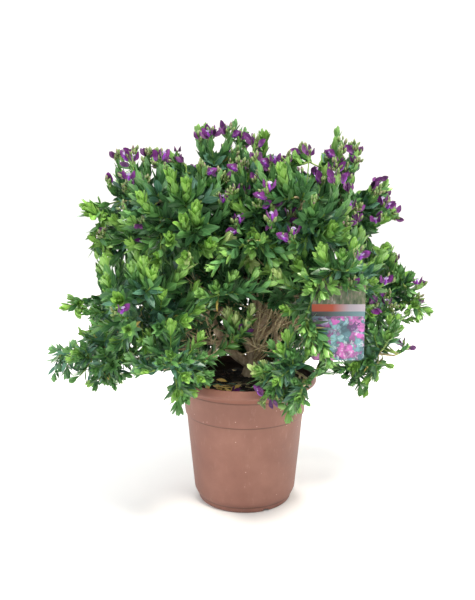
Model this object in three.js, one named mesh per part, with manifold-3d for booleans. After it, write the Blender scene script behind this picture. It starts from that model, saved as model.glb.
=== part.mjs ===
// Potted polygala: a flowering shrub with many leafy shoots, in a round plastic pot of compost,
// with a card label looped on one of its stems.
// Millimetres, +Z up. The origin is the centre of the pot's flat underside, and -Y is the front.
import * as THREE from "three";
import { mergeVertices } from "three/addons/utils/BufferGeometryUtils.js";
import Module from "manifold-3d";

const wasm = await Module();
wasm.setup();

const { Vector2, Vector3, Matrix4 } = THREE;
const radians = THREE.MathUtils.degToRad;
const up = new Vector3(0, 0, 1);
const clearance = 0.3;
const smallestEdge = 0.05;
const pinchDistances = [0.0005, 0.001, 0.002];
const growthChecks = 8;
const woodChecks = 24;

// The pot: a flared lip, an upper band that ends in a small step, and a rounded foot.
const potHeight = 198;
const rimRadius = 110.5;
const rimTopRadius = 108;
const lipDrop = 23;
const bandTopRadius = 95;
const bandFootRadius = 92.3;
const seamHeight = 137.5;
const seamStep = 2.2;
const bodyFootRadius = 78.6;
const shoulderHeight = 17;
const footTopRadius = 75;
const footHeight = 9;
const footRadius = 71.5;
const footStep = 1;
const stepRise = 0.8;
const potWall = 2.4;
const floorThickness = 9;
const potSides = 26;
const drainNotches = 3;
const firstNotchAzimuth = -64;
const notchRadius = 6;
const notchFlattening = 0.75;
const notchDepth = 9;
const notchSides = 8;

// The compost fills the pot, level round the trunk and falling a little to the wall.
const soilHeight = 184;
const soilEdgeHeight = 178;
const soilLevelRadius = 66;
const soilEdgeDepth = 3;

// The trunk leans and narrows from its flared root collar to the fork under the crown.
const trunkFoot = new Vector3(9, 34, soilHeight + clearance);
const trunkTop = new Vector3(24, 12, 292);
const trunkRise = 30;
const trunkArrival = new Vector3(-4, 8, -40);
const trunkRadius = 11;
const trunkTopRadius = 6;
const rootFlare = 6;
const flareFade = 12;
const trunkSides = 10;
const trunkSteps = 10;

// The crown: how far a tier reaches is its own radius times the reach of the side it grows to.
const reachLeft = 1.11;
const reachRight = 1.07;
const reachFront = 0.82;
const reachBack = 0.88;
const crownHeart = new Vector3(6, 8, 300);

// Limbs fork from the trunk, and boughs from the limbs. The rises say how steeply each leaves its
// fork or enters its mass, against a level step of 1.
const limbRadius = 5.8;
const lowLimbRadius = 7.8;
const boughRadius = 4;
const topBoughRadius = 4.6;
const tipRadius = 2.3;
const limbSides = 5;
const limbSteps = 5;
const limbRise = 0.35;
const boughAlongLimb = 0.8;
const topBoughRise = 1.4;
const entryRise = 0.3;
const bendReach = 0.36;
const firstTopFork = 0.99;
const topForkStep = 0.06;

// The six sides that the limbs grow to, with the height up the trunk, from 0 to 1, of each fork,
// and how much higher the waist and the skirt are there than on an even crown.
const sides = [
  { name: "left", azimuth: 178, fork: 0.2, radius: lowLimbRadius, rises: [-24, -12] },
  { name: "back_left", azimuth: 122, fork: 0.36, radius: limbRadius, rises: [4, 0] },
  { name: "front_left", azimuth: 226, fork: 0.48, radius: limbRadius, rises: [-2, 4] },
  { name: "right", azimuth: 2, fork: 0.58, radius: limbRadius, rises: [-18, -8] },
  { name: "back_right", azimuth: 62, fork: 0.7, radius: limbRadius, rises: [4, 0] },
  { name: "front_right", azimuth: 306, fork: 0.82, radius: limbRadius, rises: [32, -6] },
];

// Each side has a mass of foliage in each tier. forward turns it round from its limb to the
// front, and fork is the place on the limb, from 0 to 1, where the tier's bough leaves it.
// The shoulder grows on from the limb's own tip.
const tiers = [
  { name: "shoulder", radius: 138, height: 440, spread: 90, forward: 0, lift: 0.5, bloom: 0.55 },
  { name: "waist", radius: 184, height: 328, spread: 86, forward: -6, lift: 0.3, bloom: 0.3, fork: 0.4 },
  { name: "skirt", radius: 192, height: 246, spread: 70, forward: 10, lift: -0.05, bloom: 0.15, fork: 0.2 },
];

// Four masses make the top of the crown, on boughs that fork near the trunk's tip.
const tops = [
  { name: "top_left", azimuth: 196, radius: 56, height: 494, spread: 82, lift: 0.8, bloom: 0.7 },
  { name: "top_right", azimuth: 352, radius: 114, height: 482, spread: 82, lift: 0.8, bloom: 0.8 },
  { name: "top_front", azimuth: 284, radius: 84, height: 448, spread: 80, lift: 0.6, bloom: 0.6 },
  { name: "top_back", azimuth: 75, radius: 82, height: 486, spread: 84, lift: 0.8, bloom: 0.6 },
];

// A mass, in shares of its spread: where its stem starts, bends and ends, and where shoots end.
const entryDepth = 0.55;
const stemBend = 0.4;
const stemEnd = 0.3;
const leastReach = 0.98;
const moreReach = 0.14;
const shorterEachTry = 0.06;

// Shoots and leaves. A leaf here stands for a few of the real ones, so it is larger than life.
const shootsPerMass = 6;
const shootTries = 7;
const highestShootFoot = 0.98;
const shootFootRange = 0.6;
const shootBend = 0.55;
const shootSag = 0.3;
const leafBeyondTip = 0.8;
const leavesPerShoot = 5;
const leafTries = 9;
const leafSpacing = 8;
const shootRadius = 1.6;
const shootTipRadius = 1.2;
const shootSides = 3;
const shootSteps = 2;
const stemSides = 5;
const stemSteps = 3;
const capAngle = 128;
const goldenAngle = 137.50776;
const leafLength = 54;
const leafWidth = 26;
const leafThickness = 3;
const leafStart = 0.34;
const leafEnd = 0.96;
const blossomPlace = 0.9;
const faceRank = 90;
const openAtFoot = 72;
const openAtTip = 26;
const blossomLength = 24;
const blossomWidth = 18;
const blossomThickness = 10;
const blossomsPerTruss = 2;
const leafMarks = [0.35, 0.6, 0.85];
const growthSeed = 101;
const tierSeeds = 100;
const nextGrowth = 1000;

// The label: a card with round corners, on a strap whose sleeve is threaded on a stem.
const labelMass = "waist_front_right";
const labelWidth = 68;
const labelHeight = 102;
const labelThickness = 0.8;
const labelCorner = 6;
const strapWidth = 9;
const strapForward = 30;
const strapDrop = 8;
const sleeveWall = 1.2;
const sleeveLength = 9;
const sleeveSides = 8;
const labelPlaceOnStem = 0.8;
const labelRoom = 3;
const labelOverlap = 6;
const cornerSteps = 3;

// The same numbers from 0 to 1 each time for a seed, so that the plant always grows alike.
function seeded(seed) {
  let state = seed >>> 0;
  const next = () => {
    state = (Math.imul(state, 1664525) + 1013904223) >>> 0;
    return state / 4294967296;
  };
  for (let i = 0; i < 4; i += 1) next();
  return next;
}

// A closed geometry as a solid, and a solid as a geometry.
function solidOf(geometry) {
  const bare = geometry.clone();
  bare.deleteAttribute("normal");
  bare.deleteAttribute("uv");
  const merged = mergeVertices(bare, 1e-4);
  return new wasm.Manifold(
    new wasm.Mesh({
      numProp: 3,
      vertProperties: merged.attributes.position.array,
      triVerts: new Uint32Array(merged.index.array),
    }),
  );
}

function geometryOf(solid) {
  const mesh = solid.getMesh();
  const geometry = new THREE.BufferGeometry();
  geometry.setAttribute("position", new THREE.BufferAttribute(mesh.vertProperties, 3));
  geometry.setIndex(new THREE.BufferAttribute(mesh.triVerts, 1));
  geometry.computeVertexNormals();
  return geometry;
}

function joined(solids) {
  return solids.reduce((whole, piece) => whole.add(piece));
}

// The largest body of a solid, without loose scraps, and with its smallest edges taken out.
function mainBody(solid) {
  const bodies = solid.decompose().sort((a, b) => b.volume() - a.volume());
  return bodies[0].simplify(smallestEdge);
}

// A limb's axis: straight stretches between rings along a curve, with two ways square to each.
function axisOf(curve, steps) {
  const { normals, binormals } = curve.computeFrenetFrames(steps, false);
  return { points: curve.getSpacedPoints(steps), normals, binormals, steps };
}

// The point at a place on an axis, from 0 to 1, with the way on and the two ways square to it.
function placeOn(axis, place) {
  const step = Math.min(axis.steps - 1, Math.floor(place * axis.steps));
  const share = place * axis.steps - step;
  const [from, to] = axis.points.slice(step, step + 2);
  const along = to.clone().sub(from).normalize();
  const across = axis.normals[step].clone().lerp(axis.normals[step + 1], share);
  const normal = across.addScaledVector(along, -across.dot(along)).normalize();
  return { point: from.clone().lerp(to, share), along, normal, binormal: along.clone().cross(normal) };
}

// A limb: a cylinder bent along an axis, with its own radius at each place from 0 to 1.
function limbSolid(axis, radiusAt, around) {
  const geometry = new THREE.CylinderGeometry(1, 1, 1, around, axis.steps);
  const position = geometry.attributes.position;
  for (let i = 0; i < position.count; i += 1) {
    const step = Math.round((position.getY(i) + 0.5) * axis.steps);
    const radius = radiusAt(step / axis.steps);
    const point = axis.points[step].clone()
      .addScaledVector(axis.normals[step], position.getX(i) * radius)
      .addScaledVector(axis.binormals[step], -position.getZ(i) * radius);
    position.setXYZ(i, point.x, point.y, point.z);
  }
  return solidOf(geometry);
}

const taper = (from, to) => (place) => THREE.MathUtils.lerp(from, to, place);

// A turned piece, from its profile of radius and height.
function turned(profile, around) {
  const geometry = new THREE.LatheGeometry(profile, around);
  geometry.rotateX(Math.PI / 2);
  return solidOf(geometry);
}

// The inside of the pot's wall is one straight cone from the foot to under the lip.
function potInnerRadius(height) {
  return THREE.MathUtils.mapLinear(
    height,
    shoulderHeight,
    potHeight - lipDrop,
    bodyFootRadius - potWall,
    bandTopRadius - potWall,
  );
}

function potSolid() {
  const lipFoot = potHeight - lipDrop;
  const lipMiddle = potHeight - lipDrop / 2;
  const profile = [
    [0, 0],
    [footRadius, 0],
    [footTopRadius - footStep, footHeight],
    [footTopRadius, footHeight + stepRise],
    [bodyFootRadius, shoulderHeight],
    [bandFootRadius - seamStep, seamHeight],
    [bandFootRadius, seamHeight + stepRise],
    [bandTopRadius, lipFoot],
    [rimRadius, lipMiddle],
    [rimTopRadius, potHeight],
    [rimTopRadius - potWall, potHeight],
    [rimRadius - potWall, lipMiddle],
    [potInnerRadius(lipFoot), lipFoot],
    [potInnerRadius(shoulderHeight), shoulderHeight],
    [footTopRadius - potWall, floorThickness],
    [0, floorThickness],
  ].map(([radius, height]) => new Vector2(radius, height));
  let pot = turned(profile, potSides);
  for (let i = 0; i < drainNotches; i += 1) {
    const notch = new THREE.CylinderGeometry(notchRadius, notchRadius, notchDepth * 2, notchSides);
    notch.translate(0, footRadius, 0);
    notch.scale(1, 1, notchFlattening);
    notch.rotateZ(radians(firstNotchAzimuth + (i * 360) / drainNotches - 90));
    pot = pot.subtract(solidOf(notch));
  }
  return pot;
}

function soilSolid() {
  const edgeRadius = potInnerRadius(soilEdgeHeight - soilEdgeDepth) - clearance;
  const profile = [
    [0, floorThickness + clearance],
    [footTopRadius - potWall - clearance, floorThickness + clearance],
    [potInnerRadius(shoulderHeight) - clearance, shoulderHeight],
    [edgeRadius, soilEdgeHeight - soilEdgeDepth],
    [edgeRadius, soilEdgeHeight],
    [soilLevelRadius, soilHeight],
    [0, soilHeight],
  ].map(([radius, height]) => new Vector2(radius, height));
  return turned(profile, potSides);
}

// The way out from the trunk on one side, level, and how far that side reaches.
function wayOut(azimuth) {
  const angle = radians(azimuth);
  return new Vector3(Math.cos(angle), Math.sin(angle), 0);
}

function reachTowards(azimuth) {
  const out = wayOut(azimuth);
  const across = out.x < 0 ? reachLeft : reachRight;
  const along = out.y < 0 ? reachFront : reachBack;
  return 1 / Math.hypot(out.x / across, out.y / along);
}

// Where a mass of foliage is, how large, and which way it grows.
function massAt(name, azimuth, shape, seed) {
  const out = wayOut(azimuth);
  const heart = out.clone().multiplyScalar(shape.radius * reachTowards(azimuth)).setZ(shape.height);
  const growth = heart.clone().sub(crownHeart).normalize();
  growth.addScaledVector(up, shape.lift).normalize();
  const heading = out.clone().addScaledVector(up, entryRise + shape.lift).normalize();
  const entry = heart.clone().addScaledVector(heading, -entryDepth * shape.spread);
  return { ...shape, name, heart, growth, heading, entry, seed };
}

function boughCurve(from, leaving, mass) {
  const bend = bendReach * from.distanceTo(mass.entry);
  return new THREE.CubicBezierCurve3(
    from,
    from.clone().addScaledVector(leaving, bend),
    mass.entry.clone().addScaledVector(mass.heading, -bend),
    mass.entry,
  );
}

// The wood: the trunk, then the limbs and boughs, each from its fork to the mass that it carries.
const trunkCurve = new THREE.CubicBezierCurve3(
  trunkFoot,
  trunkFoot.clone().addScaledVector(up, trunkRise),
  trunkTop.clone().add(trunkArrival),
  trunkTop,
);

function trunkRadiusAt(place) {
  const tapered = THREE.MathUtils.lerp(trunkRadius, trunkTopRadius, place);
  return tapered + rootFlare * Math.exp(-place * flareFade);
}

const wood = [
  { name: "trunk", axis: axisOf(trunkCurve, trunkSteps), radiusAt: trunkRadiusAt, around: trunkSides },
];
const masses = [];

function addBough(name, mass, from, leaving, radius) {
  const curve = boughCurve(from, leaving, mass);
  const axis = axisOf(curve, limbSteps);
  wood.push({ name, axis, radiusAt: taper(radius, tipRadius), around: limbSides });
  masses.push(mass);
  return curve;
}

function growFrame() {
  const [shoulder, ...lower] = tiers;
  sides.forEach((side, index) => {
    const toFront = wayOut(side.azimuth).x < 0 ? 1 : -1;
    const turn = side.azimuth + shoulder.forward * toFront;
    const mass = massAt(`shoulder_${side.name}`, turn, shoulder, growthSeed + index);
    const fork = trunkCurve.getPointAt(side.fork);
    const leaving = wayOut(side.azimuth).addScaledVector(up, limbRise).normalize();
    const limb = addBough(`limb_${side.name}`, mass, fork, leaving, side.radius);
    lower.forEach((tier, row) => {
      const azimuth = side.azimuth + tier.forward * toFront;
      const shape = { ...tier, height: tier.height + side.rises[row] };
      const seed = growthSeed + tierSeeds * (row + 1) + index;
      const lowMass = massAt(`${tier.name}_${side.name}`, azimuth, shape, seed);
      const start = limb.getPointAt(tier.fork);
      const onward = limb.getTangentAt(tier.fork);
      const away = wayOut(azimuth).addScaledVector(onward, boughAlongLimb).normalize();
      addBough(`bough_${tier.name}_${side.name}`, lowMass, start, away, boughRadius);
    });
  });
  tops.forEach((top, index) => {
    const mass = massAt(top.name, top.azimuth, top, growthSeed + tierSeeds * tiers.length + index);
    const fork = trunkCurve.getPointAt(firstTopFork - topForkStep * index);
    const leaving = wayOut(top.azimuth).addScaledVector(up, topBoughRise).normalize();
    addBough(`bough_${top.name}`, mass, fork, leaving, topBoughRadius);
  });
}

growFrame();

// Each mass keeps to its own cell of space, which has flat walls, halfway to each other mass.
function insideCell(mass, point, margin) {
  return masses.every((other) => {
    if (other === mass) return true;
    const apart = mass.heart.distanceTo(other.heart);
    const ours = point.distanceToSquared(mass.heart) - mass.spread ** 2;
    const theirs = point.distanceToSquared(other.heart) - other.spread ** 2;
    return (theirs - ours) / (2 * apart) > margin + clearance;
  });
}

// A mass's stem goes on from its bough's tip, 0.3 mm clear, to past the mass's heart.
function stemAxis(mass) {
  const start = mass.entry.clone().addScaledVector(mass.heading, clearance);
  const end = mass.heart.clone().addScaledVector(mass.growth, stemEnd * mass.spread);
  const bend = start.clone().addScaledVector(mass.heading, stemBend * mass.spread);
  return axisOf(new THREE.QuadraticBezierCurve3(start, bend, end), stemSteps);
}

const stemRadiusAt = taper(tipRadius, shootRadius);
masses.forEach((mass) => {
  mass.stem = stemAxis(mass);
});

// The label hangs from this point of its mass's stem, and faces the front.
const labelCarrier = masses.find((mass) => mass.name === labelMass);
const labelSeat = placeOn(labelCarrier.stem, labelPlaceOnStem);
const labelHook = labelSeat.point;
const labelTop = labelHook.clone().add(new Vector3(0, -strapForward, -strapDrop));
const strapLine = new THREE.Line3(labelHook, labelTop);

// Twigs and leaves stay clear of the card and its strap, and out of the sight of it from the front,
// but for a little at its edges.
function hidesLabel(point, margin) {
  const nearest = strapLine.closestPointToPoint(point, true, new Vector3());
  if (nearest.distanceTo(point) < strapWidth / 2 + labelRoom + margin) return true;
  const aside = Math.abs(point.x - labelTop.x) - labelWidth / 2;
  const ahead = labelTop.y - point.y;
  const room = labelRoom + margin;
  if (point.z > labelTop.z + room || point.z < labelTop.z - labelHeight - room) return false;
  return (Math.abs(ahead) < room && aside < room) || (ahead > 0 && aside < margin - labelOverlap);
}

// Points along all the wood and stems, each stem with the mass that it belongs to.
function pointsAlong(axis, radiusAt, owner) {
  const places = Array.from({ length: woodChecks + 1 }, (_, i) => i / woodChecks);
  return places.map((place) => ({
    point: placeOn(axis, place).point,
    radius: radiusAt(place),
    owner,
  }));
}

const woodPoints = [
  ...wood.flatMap(({ axis, radiusAt }) => pointsAlong(axis, radiusAt, null)),
  ...masses.flatMap((mass) => pointsAlong(mass.stem, stemRadiusAt, mass)),
];

// True where a stretch as thick as margin stays off the wood, the pot and the label.
function clearOfRest(mass, point, margin) {
  const overPot = Math.hypot(point.x, point.y) < rimRadius + margin + 2;
  if (overPot && point.z < potHeight + margin + 2) return false;
  if (hidesLabel(point, margin)) return false;
  return woodPoints.every((place) =>
    place.owner === mass || place.point.distanceTo(point) > place.radius + margin + 1);
}

function mayGrow(mass, pointAt, marginAt) {
  return Array.from({ length: growthChecks + 1 }, (_, i) => i / growthChecks).every((share) => {
    const point = pointAt(share);
    const margin = marginAt(share);
    return insideCell(mass, point, margin) && clearOfRest(mass, point, margin);
  });
}

// Where a mass's shoots end: spread evenly over a cap of its space by the golden angle. A shoot
// that has no room there tries again, a little shorter and to one side.
function shootTip(mass, slot, attempt, random) {
  const side = new Vector3().crossVectors(mass.growth, up).normalize();
  const over = new Vector3().crossVectors(side, mass.growth);
  const tilt = Math.acos(1 - ((slot + 0.5) / shootsPerMass) * (1 - Math.cos(radians(capAngle))))
    + radians(12 * attempt * (random() - 0.5));
  const round = radians(slot * goldenAngle + (30 + 20 * attempt) * (random() - 0.5));
  const direction = mass.growth.clone().multiplyScalar(Math.cos(tilt))
    .addScaledVector(side, Math.sin(tilt) * Math.cos(round))
    .addScaledVector(over, Math.sin(tilt) * Math.sin(round));
  const share = leastReach + moreReach * random() - shorterEachTry * attempt;
  const reach = mass.spread * share - leafLength * leafBeyondTip;
  return { tilt, tip: mass.heart.clone().addScaledVector(direction, reach) };
}

// A shoot leaves the stem lower down the further it leans, and turns up, or hangs, to its tip.
function shootAxis(mass, { tilt, tip }) {
  const lean = Math.min(1, tilt / radians(capAngle));
  const start = placeOn(mass.stem, highestShootFoot - shootFootRange * lean).point;
  const sag = shootSag * mass.lift * start.distanceTo(tip);
  const bend = start.clone().lerp(tip, shootBend).addScaledVector(up, -sag);
  return axisOf(new THREE.QuadraticBezierCurve3(start, bend, tip), shootSteps);
}

// The way that a leaf grows from a place on a shoot: round the shoot by one angle, opening from it
// by another, with its face to the shoot's tip.
function leafWays({ along, normal, binormal }, round, open) {
  const side = normal.clone().multiplyScalar(Math.cos(round)).addScaledVector(binormal, Math.sin(round));
  const out = along.clone().multiplyScalar(Math.cos(open)).addScaledVector(side, Math.sin(open));
  const face = along.clone().multiplyScalar(Math.sin(open)).addScaledVector(side, -Math.cos(open));
  return { out, across: face.clone().cross(out), face };
}

// A blade with one end at the origin, along +X: a flat face above and a keel below, six faces,
// widest and thickest half way. Its length, width and thickness are 1.
const blade = solidOf(
  new THREE.LatheGeometry([new Vector2(0, -0.5), new Vector2(0.5, 0), new Vector2(0, 0.5)], 3)
    .rotateY(Math.PI)
    .rotateZ(-Math.PI / 2)
    .translate(0.5, 0, 0)
    .scale(1, 2 / Math.sqrt(3), 4 / 3),
);

// A blade on a shoot, where there is room for it and it stays off the mass's other blades.
function growBlade(mass, shoot, place, round, open, size) {
  const seat = placeOn(shoot, place);
  const ways = leafWays(seat, radians(round), radians(open));
  const pointAt = (share) => seat.point.clone().addScaledVector(ways.out, share * size.length);
  const marginAt = (share) => 1 + (1 - Math.abs(2 * share - 1)) * size.width / 2;
  const marks = leafMarks.map(pointAt);
  const crowded = mass.marks.some((mark) =>
    marks.some((point) => point.distanceTo(mark) < leafSpacing));
  if (crowded || !mayGrow(mass, pointAt, marginAt)) return false;
  mass.marks.push(...marks);
  mass.pieces.push(blade.transform(
    new Matrix4()
      .makeBasis(ways.out, ways.across, ways.face)
      .scale(new Vector3(size.length, size.width, size.thickness))
      .setPosition(seat.point)
      .elements,
  ));
  return true;
}

// Leaves stand in three ranks, one on each face of the shoot, closest together at its tip.
function growLeaves(mass, shoot, random) {
  let leaves = 0;
  const blooms = random() < mass.bloom;
  const firstRank = Math.floor(3 * random());
  for (let i = 0; i < leafTries; i += 1) {
    const share = 1 - i / (leafTries - 1);
    const place = THREE.MathUtils.lerp(leafStart, leafEnd, share);
    const open = THREE.MathUtils.lerp(openAtFoot, openAtTip, share) + 16 * (random() - 0.5);
    const length = leafLength * (0.85 + 0.25 * random());
    const size = { length, width: leafWidth, thickness: leafThickness };
    const round = faceRank + 120 * (firstRank + i);
    if (leaves < leavesPerShoot && growBlade(mass, shoot, place, round, open, size)) leaves += 1;
  }
  const size = { length: blossomLength, width: blossomWidth, thickness: blossomThickness };
  for (let i = 0; blooms && i < blossomsPerTruss; i += 1) {
    const round = faceRank + 120 * (firstRank + i + 1);
    growBlade(mass, shoot, blossomPlace, round, openAtFoot, size);
  }
}

// True where a solid stays one closed surface when corners as close as a distance run into one:
// then each edge still has one face on either side.
function staysClosed(solid, distance) {
  const bare = geometryOf(solid);
  bare.deleteAttribute("normal");
  const corners = mergeVertices(bare, distance).index.array;
  const edges = new Map();
  for (let i = 0; i < corners.length; i += 3) {
    const [a, b, c] = corners.slice(i, i + 3);
    if (a === b || b === c || c === a) continue;
    [[a, b], [b, c], [c, a]].forEach(([from, to]) => {
      edges.set(`${from} ${to}`, 1 + (edges.get(`${from} ${to}`) ?? 0));
      edges.set(`${to} ${from}`, 100 + (edges.get(`${to} ${from}`) ?? 0));
    });
  }
  return [...edges.values()].every((faces) => faces === 101);
}

function grownMass(mass, seed) {
  const random = seeded(seed);
  mass.marks = [];
  mass.pieces = [limbSolid(mass.stem, stemRadiusAt, stemSides)];
  for (let slot = 0; slot < shootsPerMass; slot += 1) {
    for (let attempt = 0; attempt < shootTries; attempt += 1) {
      const shoot = shootAxis(mass, shootTip(mass, slot, attempt, random));
      if (mayGrow(mass, (share) => placeOn(shoot, 0.1 + 0.9 * share).point, () => shootRadius)) {
        mass.pieces.push(limbSolid(shoot, taper(shootRadius, shootTipRadius), shootSides));
        growLeaves(mass, shoot, random);
        break;
      }
    }
  }
  return mainBody(joined(mass.pieces));
}

// A mass grows again from a new seed until its surface has no corners that pinch together.
function massSolid(mass) {
  for (let seed = mass.seed; ; seed += nextGrowth) {
    const solid = grownMass(mass, seed);
    if (pinchDistances.every((distance) => staysClosed(solid, distance))) return solid;
  }
}

function labelSolid() {
  const across = labelWidth / 2 - labelCorner;
  const down = labelHeight - labelCorner;
  const card = new THREE.Shape();
  card.absarc(-across, -labelCorner, labelCorner, 0.5 * Math.PI, Math.PI);
  card.absarc(-across, -down, labelCorner, Math.PI, 1.5 * Math.PI);
  card.absarc(across, -down, labelCorner, 1.5 * Math.PI, 2 * Math.PI);
  card.absarc(across, -labelCorner, labelCorner, 0, 0.5 * Math.PI);
  const sheet = new THREE.ExtrudeGeometry(card, {
    depth: labelThickness,
    bevelEnabled: false,
    curveSegments: cornerSteps,
  });
  sheet.rotateX(Math.PI / 2);
  sheet.translate(...labelTop.toArray());

  const lower = labelTop.clone().add(new Vector3(0, 0, -labelRoom));
  const length = lower.distanceTo(labelHook);
  const along = lower.clone().sub(labelHook).normalize();
  const wide = new Vector3(1, 0, 0);
  const strap = new THREE.BoxGeometry(strapWidth, length, labelThickness);
  strap.translate(0, length / 2, 0);
  const square = wide.clone().cross(along);
  strap.applyMatrix4(new Matrix4().makeBasis(wide, along, square).setPosition(labelHook));

  const bore = (stemRadiusAt(labelPlaceOnStem) + clearance) / Math.cos(Math.PI / sleeveSides);
  const onStem = new THREE.Quaternion().setFromUnitVectors(new Vector3(0, 1, 0), labelSeat.along);
  const rodOnStem = (radius, long) => {
    const rod = new THREE.CylinderGeometry(radius, radius, long, sleeveSides);
    rod.applyQuaternion(onStem);
    return solidOf(rod.translate(...labelHook.toArray()));
  };
  const sleeve = rodOnStem(bore + sleeveWall, sleeveLength);
  const hole = rodOnStem(bore, 3 * sleeveLength);
  return mainBody(joined([solidOf(sheet), solidOf(strap), sleeve]).subtract(hole));
}

const colours = {
  pot: { color: 0xa87865, roughness: 0.55 },
  compost: { color: 0x2a211b, roughness: 0.95 },
  bark: { color: 0x6e5f4c, roughness: 0.85 },
  foliage: { color: 0x3f7a3a, roughness: 0.5 },
  label: { color: 0xd9c9d6, roughness: 0.35 },
};

const materials = Object.fromEntries(
  Object.entries(colours).map(([name, look]) =>
    [name, new THREE.MeshStandardMaterial({ ...look, metalness: 0 })]),
);

const plant = new THREE.Group();
plant.name = "potted_polygala";

function addPiece(name, solid, material) {
  const mesh = new THREE.Mesh(geometryOf(solid), materials[material]);
  mesh.name = name;
  plant.add(mesh);
}

addPiece("pot", potSolid(), "pot");
addPiece("compost", soilSolid(), "compost");

// Each limb is cut clear of the wood made before it, which gives it a close seat at its fork.
const cutters = [];
wood.forEach(({ name, axis, radiusAt, around }) => {
  const cut = cutters.reduce((rest, cutter) => rest.subtract(cutter), limbSolid(axis, radiusAt, around));
  addPiece(name, mainBody(cut), "bark");
  cutters.push(limbSolid(axis, (place) => radiusAt(place) + clearance, around));
});

masses.forEach((mass) => addPiece(mass.name, massSolid(mass), "foliage"));
addPiece("label", labelSolid(), "label");

export default plant;
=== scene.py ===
"""A potted polygala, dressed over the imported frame. Metres, +Z up, -Y to the front.
The sizes below are in millimetres, and each mesh is brought to metres when it is made."""
import math
import random

import bmesh
import bpy
from mathutils import Euler, Matrix, Vector, noise


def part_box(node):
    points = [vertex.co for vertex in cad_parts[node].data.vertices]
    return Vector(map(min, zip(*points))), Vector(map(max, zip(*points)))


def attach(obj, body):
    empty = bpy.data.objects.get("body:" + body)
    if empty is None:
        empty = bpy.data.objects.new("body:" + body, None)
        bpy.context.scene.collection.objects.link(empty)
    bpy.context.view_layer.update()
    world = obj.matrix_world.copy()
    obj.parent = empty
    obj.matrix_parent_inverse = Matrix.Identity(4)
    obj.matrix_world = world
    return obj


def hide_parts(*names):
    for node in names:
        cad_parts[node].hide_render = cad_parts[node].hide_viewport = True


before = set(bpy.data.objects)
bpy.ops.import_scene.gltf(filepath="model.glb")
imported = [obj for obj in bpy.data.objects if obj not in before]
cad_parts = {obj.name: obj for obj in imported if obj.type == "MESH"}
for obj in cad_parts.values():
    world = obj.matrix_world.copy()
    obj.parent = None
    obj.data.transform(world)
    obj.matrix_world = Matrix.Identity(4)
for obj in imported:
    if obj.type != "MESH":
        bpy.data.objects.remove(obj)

MM = 0.001
UP = Vector((0, 0, 1))
GOLDEN_ANGLE = math.radians(137.50776)
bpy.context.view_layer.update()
scene = bpy.context.scene

# The pot.
POT_HEIGHT = 198
RIM_RADIUS = 110.5
RIM_TOP_RADIUS = 108
LIP_DROP = 23
BAND_TOP_RADIUS = 95
BAND_FOOT_RADIUS = 92.3
SEAM_HEIGHT = 137.5
SEAM_STEP = 2.2
BODY_FOOT_RADIUS = 78.6
SHOULDER_HEIGHT = 17
FOOT_TOP_RADIUS = 75
FOOT_HEIGHT = 9
FOOT_RADIUS = 71.5
FOOT_STEP = 1
STEP_RISE = 0.8
POT_WALL = 2.4
DRAIN_AZIMUTHS = (-64, 56, 176)
DRAIN_RADIUS = 6
DRAIN_FLATTENING = 0.75
DRAIN_DEPTH = 9
DRAIN_SIDES = 20

# The compost.
SOIL_HEIGHT = 184
SOIL_EDGE_HEIGHT = 178

# The wood and the crown, as in the part's source.
TRUNK_FOOT = Vector((9, 34, 180))
TRUNK_TOP = Vector((24, 12, 292))
TRUNK_RISE = 30
TRUNK_ARRIVAL = Vector((-4, 8, -40))
TRUNK_RADIUS = 11
TRUNK_TOP_RADIUS = 6
ROOT_FLARE = 6
FLARE_FADE = 12
REACH_LEFT, REACH_RIGHT, REACH_FRONT, REACH_BACK = 1.11, 1.07, 0.82, 0.88
CROWN_HEART = Vector((6, 8, 300))
LIMB_RADIUS, LOW_LIMB_RADIUS, BOUGH_RADIUS, TOP_BOUGH_RADIUS, TIP_RADIUS = 5.8, 7.8, 4, 4.6, 2.3
LIMB_RISE = 0.35
BOUGH_ALONG_LIMB = 0.8
TOP_BOUGH_RISE = 1.4
ENTRY_RISE = 0.3
BEND_REACH = 0.36
FIRST_TOP_FORK = 0.99
TOP_FORK_STEP = 0.06
ENTRY_DEPTH = 0.55
STEM_BEND = 0.4
STEM_END = 0.3
TRUNK_STEPS, BOUGH_STEPS, STEM_STEPS = 60, 26, 3

# Each side: its azimuth, the place of its fork on the trunk, its limb's radius, and how much
# higher its waist and its skirt are than on an even crown.
SIDES = {
    "left": (178, 0.2, LOW_LIMB_RADIUS, (-24, -12)),
    "back_left": (122, 0.36, LIMB_RADIUS, (4, 0)),
    "front_left": (226, 0.48, LIMB_RADIUS, (-2, 4)),
    "right": (2, 0.58, LIMB_RADIUS, (-18, -8)),
    "back_right": (62, 0.7, LIMB_RADIUS, (4, 0)),
    "front_right": (306, 0.82, LIMB_RADIUS, (32, -6)),
}

# Each tier: radius, height, spread, turn to the front, lift, share of shoots in bloom, fork.
TIERS = {
    "shoulder": (138, 440, 90, 0, 0.5, 0.4, None),
    "waist": (184, 328, 86, -6, 0.3, 0.2, 0.4),
    "skirt": (192, 246, 70, 10, -0.05, 0.08, 0.2),
}

# Each top mass: azimuth, radius, height, spread, lift, share of shoots in bloom.
TOPS = {
    "top_left": (196, 56, 494, 82, 0.8, 0.5),
    "top_right": (352, 114, 482, 82, 0.8, 0.6),
    "top_front": (284, 84, 448, 80, 0.6, 0.5),
    "top_back": (75, 82, 486, 84, 0.8, 0.45),
}

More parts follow.
